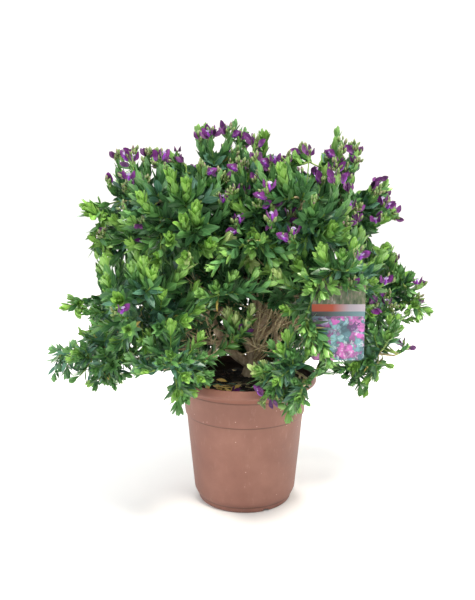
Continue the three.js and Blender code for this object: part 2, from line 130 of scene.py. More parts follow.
# Shoots: main ones as in the source, and side shoots that fork from them.
MAIN_SHOOTS = 6
SIDE_SHOOTS = 30
SHOOT_TRIES = 5
TRUSS_TRIES = 7
CAP_ANGLE = 128
LEAST_REACH = 0.9
MORE_REACH = 0.19
SHORTER_EACH_TRY = 0.08
HIGHEST_SHOOT_FOOT = 0.98
SHOOT_FOOT_RANGE = 0.6
ROSETTE_BEYOND_TIP = 16
END_RISE = 15
LINE_STEPS = 9
LEAFY_LENGTH = 84
ROSETTE_LEAVES = 13
LEAF_SPACING = 2.35
# How far a leaf lifts towards the light, and how much less low in the crown.
LEAF_LIFT = 0.25
LOW_LEAF_LIFT = 0.3
SHOOT_RADIUS, SHOOT_TIP_RADIUS = 1.5, 0.7
# The heights between which shoots pass from the shoulders' kind to the skirts'.
SHOULDERS_END, SKIRTS_BELOW = 440, 180
FLOWER_TURNS = 6
TWIG_COUNT = 50
STEM_COUNT = 10
BARE_TWIGS_LEFT_OUT = 0.5
# The seeds of what grows and lies where, and the numbers from which the seeds of shoots count up.
BOUGH_SEED, NET_SEED, FAN_SEED, LITTER_SEED = 601, 41, 57, 31
MASS_SEED_STEP, BOUGH_SHOOT_SEEDS, TUFT_SEEDS, SPRAY_SEEDS = 100, 7000, 8000, 9000

# The camera's place, its pitch in degrees below level, and its lens, in the photograph's pixels.
CAMERA_PLACE = (-11.3, -990.6, 466.8)
CAMERA_PITCH = 9.02
FOCAL_PIXELS, PICTURE_PIXELS, SENSOR_HEIGHT = 660, 600, 36
CAMERA = Vector(CAMERA_PLACE)

# What is placed by the photograph is given where its line of sight crosses the plane y = 0, and is
# then set at its own depth on that line.

# Notches in the crown's outline: x, height and radius of each cone of sight that stays open.
NOTCHES = (
    (-85, 551, 14), (55, 539, 9), (114, 545, 16), (91, 506, 8), (101, 506, 8), (187, 501, 18),
    (167, 482, 9), (224, 418, 12), (199, 398, 9), (250, 258, 9), (265, 254, 9), (226, 236, 8),
    (255, 197, 22), (222, 171, 18), (192, 149, 9), (126, 162, 18), (117, 141, 15), (-81, 514, 8),
    (-106, 539, 8), (-205, 518, 8), (-208, 467, 10), (-222, 483, 14), (-219, 473, 6), (-231, 424, 8),
    (-229, 374, 6), (-240, 345, 16), (-256, 328, 12), (-243, 320, 9), (-279, 279, 9), (-261, 280, 9),
    (-262, 263, 8), (-244, 272, 9), (-147, 174, 15), (-178, 174, 12), (-217, 163, 12), (-127, 184, 9),
    (-117, 189, 9), (51, 538, 9), (104, 521, 9), (-231, 398, 4), (-237, 364, 6), (237, 466, 8),
    (226, 492, 10), (226, 477, 6), (236, 445, 8), (212, 421, 9), (239, 375, 9), (217, 195, 9),
    (201, 173, 8), (-108, 110, 8), (110, 178, 8), (105, 158, 9), (97, 136, 8), (116, 187, 6), (90, 108, 8),
    (44, 544, 9), (54, 528, 8), (-41, 539, 8), (-77, 532, 6), (-72, 517, 6), (-24, 178, 14), (-11, 189, 12),
    (-45, 173, 9), (3, 198, 8), (-35, 190, 9), (-210, 160, 9), (-256, 179, 9), (177, 480, 8), (214, 221, 8),
    (230, 216, 9), (247, 219, 9), (234, 190, 9), (-198, 455, 6), (-209, 458, 6), (-247, 460, 6),
    (-234, 427, 9), (-221, 430, 4), (-243, 401, 4), (-227, 325, 9), (-155, 189, 6), (-136, 192, 6),
    (-119, 178, 6), (39, 534, 8), (167, 495, 8), (230, 461, 8), (222, 480, 6), (82, 506, 4), (93, 195, 9),
    (104, 213, 8), (82, 190, 4),
)

# Where the front side is in flower: x, height, and how many flowers are open and half open.
TRUSSES = (
    (-168, 521, 2, 2), (-188, 524, 0, 3), (-200, 486, 1, 0), (-173, 495, 1, 1), (-173, 479, 0, 1),
    (-125, 522, 2, 1), (-143, 525, 0, 2), (-102, 522, 0, 2), (-87, 518, 0, 1), (-50, 558, 2, 2),
    (-66, 549, 0, 1), (-25, 561, 2, 1), (-8, 551, 0, 2), (13, 545, 2, 1), (-61, 506, 1, 0),
    (-34, 522, 2, 1), (-6, 511, 1, 1), (17, 519, 0, 2), (41, 518, 2, 1), (-31, 490, 0, 1), (-16, 473, 0, 1),
    (-37, 460, 1, 0), (20, 489, 1, 1), (34, 473, 2, 1), (19, 455, 1, 0), (37, 429, 1, 1), (49, 408, 1, 0),
    (-151, 430, 0, 1), (-147, 401, 1, 0), (-208, 411, 0, 1), (-195, 294, 1, 0), (94, 528, 0, 2),
    (139, 528, 1, 2), (164, 531, 1, 1), (172, 518, 0, 1), (131, 508, 1, 1), (137, 492, 2, 2),
    (99, 489, 1, 0), (115, 488, 1, 1), (60, 485, 1, 1), (69, 473, 0, 2), (61, 461, 1, 0), (155, 473, 0, 2),
    (139, 461, 0, 2), (163, 448, 2, 0), (165, 430, 0, 2), (148, 429, 0, 1), (186, 480, 0, 3),
    (206, 469, 0, 2), (208, 454, 2, 0), (222, 439, 1, 2), (198, 432, 1, 1), (64, 436, 1, 1),
    (76, 418, 1, 1), (70, 407, 2, 0), (167, 381, 1, 0), (159, 325, 0, 1), (212, 339, 1, 1),
    (217, 320, 1, 0), (190, 305, 1, 1), (218, 300, 1, 0), (263, 334, 1, 1), (257, 316, 0, 1),
)

# Where a rosette of young leaves is in sight on the front side: x and height.
ROSETTES = {
    "bright": (
        (-73, 447), (-11, 454), (-172, 399), (-90, 378), (4, 377), (-228, 450), (-194, 435), (-91, 429),
        (-139, 357), (-211, 374), (-126, 326), (-74, 334), (-29, 337), (-109, 499), (-87, 488), (0, 493),
        (18, 407), (36, 363), (113, 349), (145, 340), (-47, 308), (-114, 274), (-190, 313), (-228, 405),
        (76, 455), (147, 450), (83, 367), (-54, 396), (54, 506), (-154, 467),
    ),
    "pale": (
        (-87, 375), (8, 375), (47, 355), (-8, 367), (141, 339),
    ),
}

# Long sprays that stand out of the crown: the mass that each grows from, its depth, how far it goes
# out before it turns, its leaves and their size, which of its tips are in flower, and where its own
# tip and its side tips are.
SPRAYS = {
    "over_rim": ("skirt_front_right", -127, 0.95, "plain", 1.05, (), [
        (69, 124), (80, 139), (60, 142), (80, 157), (66, 163), (73, 178), (64, 184), (68, 200), (58, 197),
        (70, 216)]),
    "over_rim_bloom": ("skirt_front_right", -140, 0.8, "pale", 1.1, (0, 1), [
        (53, 163), (32, 153), (33, 187), (14, 200), (48, 190), (30, 210)]),
    "by_label": ("waist_front_right", -184, 0.7, "plain", 0.95, (), [
        (89, 263), (131, 210), (119, 221), (106, 232), (97, 244), (112, 247), (125, 229), (101, 261)]),
    "centre": ("skirt_front_left", -104, 0.6, "pale", 1.0, (0,), [
        (-6, 260), (-14, 282), (-26, 291), (3, 276), (11, 297)]),
    "rim_left": ("skirt_front_left", -118, 0.95, "dusky", 1.25, (), [
        (-104, 139), (-90, 165), (-110, 171), (-76, 178), (-96, 187), (-65, 194), (-82, 203)]),
    "right_tip": ("waist_right", -10, 0.6, "plain", 0.9, (), [
        (279, 293), (267, 288), (249, 291), (257, 305), (264, 282), (239, 302)]),
    "right_high": ("waist_right", -10, 0.7, "dusky", 1.0, (), [
        (251, 345), (235, 358), (247, 331), (228, 346)]),
    "right_low": ("skirt_right", -20, 0.9, "plain", 0.9, (0,), [
        (248, 236), (230, 244), (213, 252), (239, 230), (202, 255), (220, 236), (200, 243)]),
    "right_droop": ("skirt_right", -24, 0.7, "cool", 1.0, (), [
        (179, 166), (166, 178), (189, 182), (155, 190), (180, 197), (197, 194), (210, 214), (190, 213),
        (142, 203), (162, 210), (128, 208), (172, 186), (149, 198), (182, 178), (199, 206)]),
    "right_droop_end": ("skirt_right", -24, 0.7, "tipped", 1.0, (), [(213, 216), (188, 162)]),
    "left_tip": ("skirt_left", 0, 0.6, "cool", 1.05, (), [
        (-295, 233), (-295, 187), (-282, 219), (-275, 194), (-266, 241), (-258, 206), (-286, 203)]),
    "left_skirt": ("skirt_left", -50, 0.7, "cool", 1.0, (), [
        (-171, 232), (-181, 246), (-158, 229), (-189, 225), (-164, 247), (-180, 211), (-162, 206)]),
    "left_waist_low": ("waist_left", 0, 0.7, "tipped", 1.0, (), [
        (-272, 299), (-257, 291), (-245, 297), (-251, 306)]),
    "left_side": ("shoulder_left", -20, 0.6, "bright", 1.0, (), [
        (-234, 450), (-225, 441), (-227, 435), (-213, 435)]),
    "left_waist": ("shoulder_left", -20, 0.8, "tipped", 0.9, (), [(-231, 401), (-224, 389), (-211, 398)]),
    "top_left": ("shoulder_left", 0, 0.8, "plain", 0.9, (0, 1, 2), [(-162, 525), (-181, 519), (-141, 524)]),
    "peak": ("top_left", 0, 0.8, "dusky", 0.95, (), [(-15, 568), (-27, 562), (-2, 557)]),
    "peak_left": ("top_left", 0, 0.8, "plain", 0.95, (), [(-68, 559), (-59, 547)]),
    "peak_right": ("top_back", 20, 0.8, "bright", 1.1, (), [(30, 552), (22, 545), (35, 542)]),
    "candle": ("top_right", 0, 0.85, "plain", 0.9, (), [(135, 559), (127, 545), (133, 549)]),
    "right_shoulder": ("shoulder_right", -10, 0.8, "plain", 0.95, (0, 1, 2, 3), [
        (195, 489), (185, 480), (208, 455), (213, 442), (205, 483)]),
    "right_side": ("waist_right", 0, 0.7, "plain", 0.95, (), [(221, 374), (228, 361), (215, 389)]),
    "front_high": ("top_front", -150, 0.7, "plain", 1.05, (), [
        (10, 387), (-24, 381), (41, 369), (-47, 360), (66, 378), (25, 404)]),
    "front_low": ("waist_front_left", -150, 0.6, "plain", 1.0, (), [
        (-17, 346), (-44, 334), (18, 352), (-64, 320), (42, 339)]),
    "label_corner": ("waist_front_right", -170, 0.8, "plain", 1.0, (), [
        (108, 336), (117, 328), (91, 351), (100, 329), (129, 337)]),
    "label_top": ("waist_front_right", -170, 0.8, "dusky", 0.9, (1,), [
        (150, 339), (161, 331), (138, 346), (174, 340)]),
    "top_truss": ("top_right", -14, 0.8, "plain", 0.95, (0,), [(86, 529), (75, 524), (66, 515), (79, 518)]),
    "left_fill": ("shoulder_left", 0, 0.7, "dusky", 1.0, (), [
        (-206, 386), (-216, 396), (-199, 375), (-202, 401)]),
    "middle_fill": ("waist_front_left", -10, 0.7, "dusky", 1.1, (), [
        (-110, 377), (-101, 366), (-120, 387), (-98, 386)]),
    "back_fill_left": ("skirt_back_left", 70, 0.5, "shaded", 1.3, (), [
        (-167, 244), (-152, 225), (-182, 260), (-141, 300), (-129, 230), (-95, 227), (-145, 263)]),
    "back_gap_right": ("skirt_back_right", 80, 0.6, "shaded", 1.3, (), [
        (26, 246), (39, 233), (51, 251), (65, 238), (17, 232), (74, 254), (34, 261), (55, 268), (5, 246)]),
    "back_gap_left": ("skirt_back_left", 66, 0.6, "shaded", 1.3, (), [
        (-100, 240), (-115, 251), (-84, 229), (-96, 257), (-69, 238), (-130, 263), (-50, 251)]),
    "back_low": ("skirt_back_left", 60, 0.6, "shaded", 1.2, (), [
        (-6, 233), (-18, 238), (5, 229), (-31, 232), (16, 230), (28, 230), (40, 229)]),
    "back_rim": ("skirt_back_left", 84, 0.8, "shaded", 1.4, (), [
        (8, 225), (-7, 238), (-23, 227), (-35, 238), (-47, 229), (-60, 238), (-14, 251), (2, 247)]),
    "back_rim_left": ("skirt_back_left", 96, 0.7, "shaded", 1.4, (), [
        (-72, 229), (-60, 222), (-84, 232), (-47, 247), (-29, 263), (-63, 251), (-44, 276)]),
    "back_rim_right": ("skirt_back_right", 84, 0.8, "shaded", 1.4, (), [
        (26, 222), (49, 229), (42, 216), (62, 243), (36, 240), (69, 229)]),
    "back_fill": ("waist_back_left", 120, 0.5, "shaded", 1.4, (), [
        (-43, 286), (-53, 274), (-30, 279), (-69, 263), (-20, 297), (-7, 308), (5, 294)]),
    "back_fill_low": ("skirt_back_left", 110, 0.5, "shaded", 1.4, (), [
        (-93, 249), (-106, 243), (-81, 257), (-37, 232), (-90, 235), (-112, 232)]),
    "back_gap": ("waist_back_right", 96, 0.7, "shaded", 1.4, (), [
        (20, 260), (39, 247), (11, 241), (46, 266), (29, 232), (60, 254), (-1, 269), (-14, 254), (3, 285),
        (11, 276), (-3, 274), (8, 296), (-11, 291)]),
}


def linear(hex_colour):
    """An sRGB hex colour as the linear colour that a socket takes."""
    channels = [int(hex_colour[i:i + 2], 16) / 255 for i in (1, 3, 5)]
    return [c / 12.92 if c <= 0.04045 else ((c + 0.055) / 1.055) ** 2.4 for c in channels] + [1.0]


def add(tree, kind, settings=None, sockets=None):
    """Adds a node to a tree. Each socket is given a value, or another node's output to link."""
    node = tree.nodes.new(kind)
    for name, value in (settings or {}).items():
        setattr(node, name, value)
    for name, value in (sockets or {}).items():
        if isinstance(value, bpy.types.NodeSocket):
            tree.links.new(value, node.inputs[name])
        else:
            node.inputs[name].default_value = value
    return node


def finish(name, sockets, build=None):
    """A material of one Principled shader. build adds the patterns and returns what they drive."""
    material = bpy.data.materials.new(name)
    material.use_nodes = True
    tree = material.node_tree
    tree.nodes.clear()
    driven = build(tree) if build else {}
    shader = add(tree, "ShaderNodeBsdfPrincipled", None, {**sockets, **driven})
    add(tree, "ShaderNodeOutputMaterial", None, {"Surface": shader.outputs["BSDF"]})
    return material


def on_object(tree, scale=(1, 1, 1), location=(0, 0, 0)):
    """Object coordinates in metres, centred and scaled."""
    source = add(tree, "ShaderNodeTexCoord")
    return add(tree, "ShaderNodeMapping", None, {
        "Vector": source.outputs["Object"], "Scale": scale, "Location": location}).outputs["Vector"]


def grain(tree, vector, size_mm, detail=3.0, roughness=0.6):
    """Noise whose lumps are about size_mm wide."""
    return add(tree, "ShaderNodeTexNoise", None, {
        "Vector": vector, "Scale": 1000 / size_mm, "Detail": detail, "Roughness": roughness}).outputs["Fac"]


def ramp(tree, value, stops):
    """A colour ramp through (place, hex colour) stops."""
    node = add(tree, "ShaderNodeValToRGB", None, {"Fac": value})
    elements = node.color_ramp.elements
    while len(elements) < len(stops):
        elements.new(0.5)
    for element, (place, colour) in zip(elements, stops):
        element.position = place
        element.color = linear(colour)
    return node.outputs["Color"]


def blended(tree, share, first, second, mode="MIX"):
    """Two colours mixed by a share. Each is a hex colour or an output."""
    node = add(tree, "ShaderNodeMix", {"data_type": "RGBA", "blend_type": mode}, {0: share})
    for place, colour in ((6, first), (7, second)):
        if isinstance(colour, str):
            node.inputs[place].default_value = linear(colour)
        else:
            tree.links.new(colour, node.inputs[place])
    return node.outputs[2]


def between(tree, value, low, high, start=0.0, end=1.0):
    """A value's place from low to high, as a number from start to end, kept inside them."""
    return add(tree, "ShaderNodeMapRange", None, {
        "Value": value, 1: low, 2: high, 3: start, 4: end}).outputs["Result"]


def bumped(tree, height, distance_mm):
    """The surface raised by a pattern, by a distance at most."""
    return add(tree, "ShaderNodeBump", None, {
        "Height": height, "Distance": distance_mm * MM, "Strength": 1.0}).outputs["Normal"]


# Finishes

def mottled(size_mm, detail, stops, stretch=(1, 1, 1), relief_mm=0):
    """Soft patches about size_mm wide through a ramp of colours, raised by a relief if they have one."""
    def pattern(tree):
        patches = grain(tree, on_object(tree, stretch), size_mm, detail)
        driven = {"Base Color": ramp(tree, patches, stops)}
        if relief_mm:
            driven["Normal"] = bumped(tree, patches, relief_mm)
        return driven
    return pattern


POT_SPECK_SPACING = 14
# Painted shade: thin dark lines at the foot, under the band's seam and under the lip, where the shell's steps
# cast shade.
SHADE_LINE_HEIGHTS = (FOOT_HEIGHT, SEAM_HEIGHT - 0.4, POT_HEIGHT - LIP_DROP)
SHADE_LINE_WIDTH = (0.4, 1.6)
# Where the wall inside the rim is darkened above the compost: soil stain and painted shade.
STAIN_AND_SHADE_WALL = (187, 197)


def pot_pattern(tree):
    """Clouds, scuffs and specks of dust, with painted shade along the creases, and soil stain with painted
    shade on the wall round the compost.
    """
    vector = on_object(tree)
    cloud = grain(tree, vector, 60, 4)
    body = ramp(tree, cloud, [(0.3, "#744a3e"), (0.5, "#7d5346"), (0.72, "#875e51")])
    scuffs = grain(tree, on_object(tree, (1, 1, 0.3)), 7, 5, 0.75)
    worn = blended(tree, between(tree, scuffs, 0.58, 0.74, 0, 0.35), body, "#a5867a")
    specks = add(tree, "ShaderNodeTexVoronoi", {"feature": "F1"}, {
        "Vector": vector, "Scale": 1000 / POT_SPECK_SPACING})
    dust = between(tree, specks.outputs["Distance"], 0.035, 0.07, 0.5, 0)
    colour = blended(tree, dust, worn, "#dcc2b4")
    height = add(tree, "ShaderNodeSeparateXYZ", None, {"Vector": vector}).outputs["Z"]
    near, far = (width * MM for width in SHADE_LINE_WIDTH)
    # A dark line of painted shade along each crease.
    for crease in SHADE_LINE_HEIGHTS:
        from_crease = add(tree, "ShaderNodeMath", {"operation": "SUBTRACT"}, {0: height, 1: crease * MM})
        apart = add(tree, "ShaderNodeMath", {"operation": "ABSOLUTE"}, {0: from_crease.outputs[0]})
        colour = blended(tree, between(tree, apart.outputs[0], near, far, 0.75, 0), colour, "#3f241c")
    # Soil stain and painted shade on the inner wall, darkest just above the compost.
    inside = add(tree, "ShaderNodeAttribute", {"attribute_name": "inside"}).outputs["Fac"]
    low, high = (level * MM for level in STAIN_AND_SHADE_WALL)
    stain_and_shade = add(tree, "ShaderNodeMath", {"operation": "MULTIPLY"}, {
        0: inside, 1: between(tree, height, low, high, 0.9, 0.35)})
    # The mould's fine grain is drawn 1.2 mm wide, so that it shows.
    return {
        "Base Color": blended(tree, stain_and_shade.outputs[0], colour, "#1f1713"),
        "Roughness": between(tree, cloud, 0.3, 0.7, 0.48, 0.6),
        "Normal": bumped(tree, grain(tree, vector, 1.2, 2), 0.12),
    }


# Injection-moulded polypropylene, terracotta brown: matte, faintly clouded, dusted with specks.
pot_plastic = finish("moulded_polypropylene", {"IOR": 1.49}, pot_pattern)


def compost_pattern(tree):
    lumps = grain(tree, on_object(tree), 9, 6, 0.7)
    fibres = grain(tree, on_object(tree, (1, 0.25, 1)), 2.5, 3)
    ground = ramp(tree, lumps, [(0.3, "#0d0b09"), (0.5, "#1b1613"), (0.68, "#2c241e"), (0.82, "#4b3e32")])
    colour = blended(tree, between(tree, fibres, 0.64, 0.74, 0, 0.35), ground, "#7d6650")
    return {"Base Color": colour, "Normal": bumped(tree, lumps, 2.2)}


# Moist peat and bark compost: nearly black, crumbly, with a few dry fibres.
compost_peat = finish("moist_peat_compost", {"Roughness": 0.9}, compost_pattern)

# Composted pine bark: dull brown flakes, streaked along the fibre.
bark_chip = finish("composted_bark_chip", {"Roughness": 0.85}, mottled(
    3, 4, [(0.3, "#17110d"), (0.55, "#33271e"), (0.78, "#6d5845")], (1, 0.3, 0.6), 0.5))


def bark_pattern(tree):
    plates = grain(tree, on_object(tree, (1, 1, 0.35)), 6, 6, 0.7)
    lichen = grain(tree, on_object(tree), 18, 3)
    wood = ramp(tree, plates, [(0.28, "#5d4f40"), (0.42, "#8c7a63"), (0.58, "#ac9a80"), (0.78, "#cabb9f")])
    return {
        "Base Color": blended(tree, between(tree, lichen, 0.55, 0.75, 0, 0.4), wood, "#9a9482"),
        "Normal": bumped(tree, plates, 1.2),
    }


# The shrub's own bark: grey-brown, dry and finely furrowed along the wood.
shrub_bark = finish("grey_shrub_bark", {"Roughness": 0.85}, bark_pattern)

# Twigs of last year: thin tan bark, ringed a little darker.
twig_bark = finish("tan_twig_bark", {"Roughness": 0.7}, mottled(
    5, 4, [(0.3, "#8a7c5c"), (0.5, "#af9f7a"), (0.7, "#cdbf9c")], relief_mm=0.3))

# This year's shoots: green and slightly waxy.
green_shoot = finish("green_shoot_skin", {"Roughness": 0.5}, mottled(
    12, 3, [(0.35, "#5f7d35"), (0.6, "#86a34c")]))


def on_blade(tree):
    """The place along and across a leaf or petal, from its own UV map."""
    place = add(tree, "ShaderNodeUVMap", {"uv_map": "blade"})
    parts = add(tree, "ShaderNodeSeparateXYZ", None, {"Vector": place.outputs["UV"]}).outputs
    return parts["X"], parts["Y"]


def leaf_finish(name, dark, light, rib, roughness):
    """A leaf's waxy skin, with its own two greens in soft patches, a paler midrib, a painted highlight along
    its edge and painted shade at its foot.
    """
    def pattern(tree):
        patches = grain(tree, on_object(tree), 22, 3)
        skin = ramp(tree, patches, [(0.32, dark), (0.68, light)])
        along, across = on_blade(tree)
        # Painted highlight: the edge is paled towards the midrib's colour.
        rim_highlighted = blended(tree, between(tree, across, 0.72, 1.0, 0, 0.45), skin, rib)
        ribbed = blended(tree, between(tree, across, 0.0, 0.16, 0.7, 0), rim_highlighted, rib)
        # Painted shade: the leaf darkens towards its foot.
        return {"Base Color": blended(tree, between(tree, along, 0.0, 0.5, 0.45, 0), ribbed, dark)}
    return finish(name, {"Roughness": roughness, "IOR": 1.45, "Specular IOR Level": 0.6}, pattern)


# Polygala leaves, from the soft yellow-green of the shoot tips to the blue-green of old leaves.
leaf_skins = {
    "cream": leaf_finish("leaf_tip_cream", "#86a552", "#b5ca85", "#d8e0ae", 0.42),
    "tip": leaf_finish("leaf_tip_yellow_green", "#66973a", "#88b753", "#a8ca7c", 0.38),
    "fresh": leaf_finish("leaf_fresh_green", "#5f8f41", "#80ad57", "#9dc179", 0.36),
    "green": leaf_finish("leaf_mid_green", "#477a3f", "#639452", "#86b072", 0.37),
    "deep": leaf_finish("leaf_deep_green", "#2f5a33", "#477344", "#658e5b", 0.38),
    "blue": leaf_finish("leaf_blue_green", "#39664f", "#54816b", "#789c86", 0.38),
    "yellowed": leaf_finish("leaf_yellowed", "#b39a42", "#cdb868", "#dccb8c", 0.55),
}

# Leaves that have dropped on the compost: dry, yellow and dull, made paler still as painted light, since the
# crown shades them.
# Painted light: the yellows are paler than the leaves' own colour.
fallen_leaf = leaf_finish("fallen_leaf_yellow_painted_light", "#e8bd5a", "#f6d98a", "#fbe9b4", 0.6)


def wing_pattern(tree):
    """Magenta clouds, paler at the petal's foot and darker round its edge."""
    clouds = grain(tree, on_object(tree), 6, 3)
    along, across = on_blade(tree)
    petal = ramp(tree, clouds, [(0.3, "#430a50"), (0.5, "#62136c"), (0.7, "#7f2a8b")])
    pale_foot = blended(tree, between(tree, along, 0.0, 0.4, 0.6, 0), petal, "#a27fae")
    return {"Base Color": blended(tree, between(tree, across, 0.6, 1.0, 0, 0.65), pale_foot, "#3a0e3c")}


# Petals: thin and softly velvety, so that light glances off them without a shine.
wing_petal = finish("magenta_wing_petal", {"Roughness": 0.6, "Sheen Weight": 0.08}, wing_pattern)

# The wings' backs in flowers that are half open: dull plum, faded to green in places.
young_wing_petal = finish("plum_wing_back", {"Roughness": 0.55}, mottled(
    7, 3, [(0.3, "#35123b"), (0.48, "#54235c"), (0.62, "#6f3f78"), (0.76, "#77745a")]))

# The keel between the wings: a firmer petal in a clearer violet, with a velvety bloom.
keel_petal = finish("violet_keel_petal", {"Roughness": 0.5, "Sheen Weight": 0.15}, mottled(
    5, 3, [(0.3, "#560f74"), (0.55, "#7d22a0"), (0.8, "#a14cc4")]))

# The crest's fringe: white filaments with a lilac tinge.
crest_fringe = finish("lilac_white_fringe", {"Roughness": 0.7}, mottled(
    3, 2, [(0.35, "#b79fd8"), (0.65, "#e6dcf6")]))

# Closed buds: green-cream sepals, flushed with mauve.
bud_sepal = finish("green_cream_sepal", {"Roughness": 0.5}, mottled(
    5, 2, [(0.34, "#48642f"), (0.52, "#6c8348"), (0.62, "#746a58"), (0.74, "#5c3356")]))

# The studio's floor: matte pale paint, hardly clouded.
studio_floor = finish("pale_studio_floor", {"Roughness": 0.9}, mottled(
    400, 2, [(0.3, "#f1f0ee"), (0.7, "#f6f5f3")]))


# Making meshes

def shown(name, mesh, material=None, smooth=True):
    """A mesh in metres as an object of the scene."""
    if material:
        mesh.materials.clear()
        mesh.materials.append(material)
    for polygon in mesh.polygons:
        polygon.use_smooth = smooth
    piece = bpy.data.objects.new(name, mesh)
    scene.collection.objects.link(piece)
    return piece


def mesh_of(name, corners, faces, edges=()):
    """A mesh in metres from corners in millimetres."""
    mesh = bpy.data.meshes.new(name)
    mesh.from_pydata([Vector(c) * MM for c in corners], list(edges), faces)
    mesh.update()
    return mesh


def merged(mesh, distance, outwards=False):
    """Merges doubles nearer than a distance in metres, and turns the faces outwards if asked."""
    work = bmesh.new()
    work.from_mesh(mesh)
    bmesh.ops.remove_doubles(work, verts=work.verts, dist=distance)
    if outwards:
        bmesh.ops.recalc_face_normals(work, faces=work.faces)
    work.to_mesh(mesh)
    work.free()
    return mesh


def outward(mesh):
    return merged(mesh, 0.00001, outwards=True)


def eased(profile, radius, steps=4):
    """A profile with its inner corners rounded to about a radius."""
    out = [Vector(profile[0])]
    for before, corner, after in zip(profile, profile[1:], profile[2:]):
        before, corner, after = Vector(before), Vector(corner), Vector(after)
        reach = min(radius, (before - corner).length * 0.45, (after - corner).length * 0.45)
        start = corner + (before - corner).normalized() * reach
        end = corner + (after - corner).normalized() * reach
        for i in range(steps + 1):
            t = i / steps
            out.append(start * (1 - t) ** 2 + corner * 2 * t * (1 - t) + end * t ** 2)
    out.append(Vector(profile[-1]))
    return out


def lathe(name, profile, sides, shift=None):
    """A turned mesh from its profile of radius and height, closed where the profile meets the axis."""
    corners, faces, rows = [], [], []
    for radius, height in profile:
        if radius < 0.01:
            rows.append([len(corners)] * sides)
            corners.append((0, 0, height))
            continue
        rows.append(list(range(len(corners), len(corners) + sides)))
        for i in range(sides):
            angle = 2 * math.pi * i / sides
            point = Vector((radius * math.cos(angle), radius * math.sin(angle), height))
            corners.append(shift(point) if shift else point)
    for low, high in zip(rows, rows[1:]):
        for i in range(sides):
            j = (i + 1) % sides
            face = [low[i], low[j], high[j], high[i]]
            faces.append([c for k, c in enumerate(face) if c not in face[:k]])
    return outward(mesh_of(name, corners, faces))


# Trees of Geometry Nodes

def new_tree(name, inputs):
    """An empty tree with named inputs, its first and last sockets being geometry."""
    tree = bpy.data.node_groups.new(name, "GeometryNodeTree")
    tree.interface.new_socket("Geometry", in_out="INPUT", socket_type="NodeSocketGeometry")
    for label, kind in inputs:
        tree.interface.new_socket(label, in_out="INPUT", socket_type=kind)
    tree.interface.new_socket("Geometry", in_out="OUTPUT", socket_type="NodeSocketGeometry")
    return tree, add(tree, "NodeGroupInput").outputs


def end_tree(tree, geometry, material):
    real = add(tree, "GeometryNodeRealizeInstances", None, {"Geometry": geometry})
    done = add(tree, "GeometryNodeSetMaterial", None, {"Geometry": real.outputs[0], "Material": material})
    add(tree, "NodeGroupOutput", None, {"Geometry": done.outputs[0]})
    return tree


def stored(tree, name, kind):
    """The points' own attribute of this name."""
    node = add(tree, "GeometryNodeInputNamedAttribute", {"data_type": kind}, {"Name": name})
    return next(socket for socket in node.outputs if socket.enabled and socket.name == "Attribute")


def scatter_tree():
    """Sets one piece on each point, turned and sized by the point's own attributes."""
    tree, given = new_tree("scatter_pieces", [
        ("Piece", "NodeSocketObject"), ("Size Spread", "NodeSocketFloat"),
        ("Seed", "NodeSocketInt"), ("Finish", "NodeSocketMaterial")])
    piece = add(tree, "GeometryNodeObjectInfo", None, {"Object": given["Piece"], "As Instance": True})
    turned = add(tree, "FunctionNodeEulerToRotation", None, {0: stored(tree, "turn", "FLOAT_VECTOR")})
    least = add(tree, "ShaderNodeMath", {"operation": "SUBTRACT"}, {0: 1.0, 1: given["Size Spread"]})
    most = add(tree, "ShaderNodeMath", {"operation": "ADD"}, {0: 1.0, 1: given["Size Spread"]})
    spread = add(tree, "FunctionNodeRandomValue", {"data_type": "FLOAT"}, {
        2: least.outputs[0], 3: most.outputs[0], "Seed": given["Seed"]})
    scale = add(tree, "ShaderNodeMath", {"operation": "MULTIPLY"}, {
        0: stored(tree, "size", "FLOAT"), 1: spread.outputs[1]})
    placed = add(tree, "GeometryNodeInstanceOnPoints", None, {
        "Points": given["Geometry"], "Instance": piece.outputs["Geometry"],
        "Rotation": turned.outputs[0], "Scale": scale.outputs[0]})
    return end_tree(tree, placed.outputs[0], given["Finish"])


def twig_tree():
    """Round twigs along chains of edges, as thick at each point as its attribute says."""
    tree, given = new_tree("round_twigs", [
        ("Sides", "NodeSocketInt"), ("Finish", "NodeSocketMaterial")])
    curve = add(tree, "GeometryNodeMeshToCurve", None, {"Mesh": given["Geometry"]})
    ring = add(tree, "GeometryNodeCurvePrimitiveCircle", None, {"Resolution": given["Sides"], "Radius": 1.0})
    skin = add(tree, "GeometryNodeCurveToMesh", None, {
        "Curve": curve.outputs[0], "Profile Curve": ring.outputs[0],
        "Scale": stored(tree, "thick", "FLOAT"), "Fill Caps": True})
    smooth = add(tree, "GeometryNodeSetShadeSmooth", None, {"Geometry": skin.outputs[0]})
    return end_tree(tree, smooth.outputs[0], given["Finish"])


SCATTER = scatter_tree()
TWIGS = twig_tree()


def grown(name, tree, carrier_mesh, settings):
    """Runs a tree on a carrier mesh, and returns the result as a plain piece."""
    carrier = shown(name + "_carrier", carrier_mesh)
    modifier = carrier.modifiers.new("growth", "NODES")
    modifier.node_group = tree
    for socket in tree.interface.items_tree:
        if socket.in_out == "INPUT" and socket.name in settings:
            modifier[socket.identifier] = settings[socket.name]
    graph = bpy.context.evaluated_depsgraph_get()
    mesh = bpy.data.meshes.new_from_object(carrier.evaluated_get(graph), depsgraph=graph)
    mesh.name = name
    carrier.modifiers.remove(modifier)
    bpy.data.objects.remove(carrier)
    piece = bpy.data.objects.new(name, mesh)
    scene.collection.objects.link(piece)
    return piece


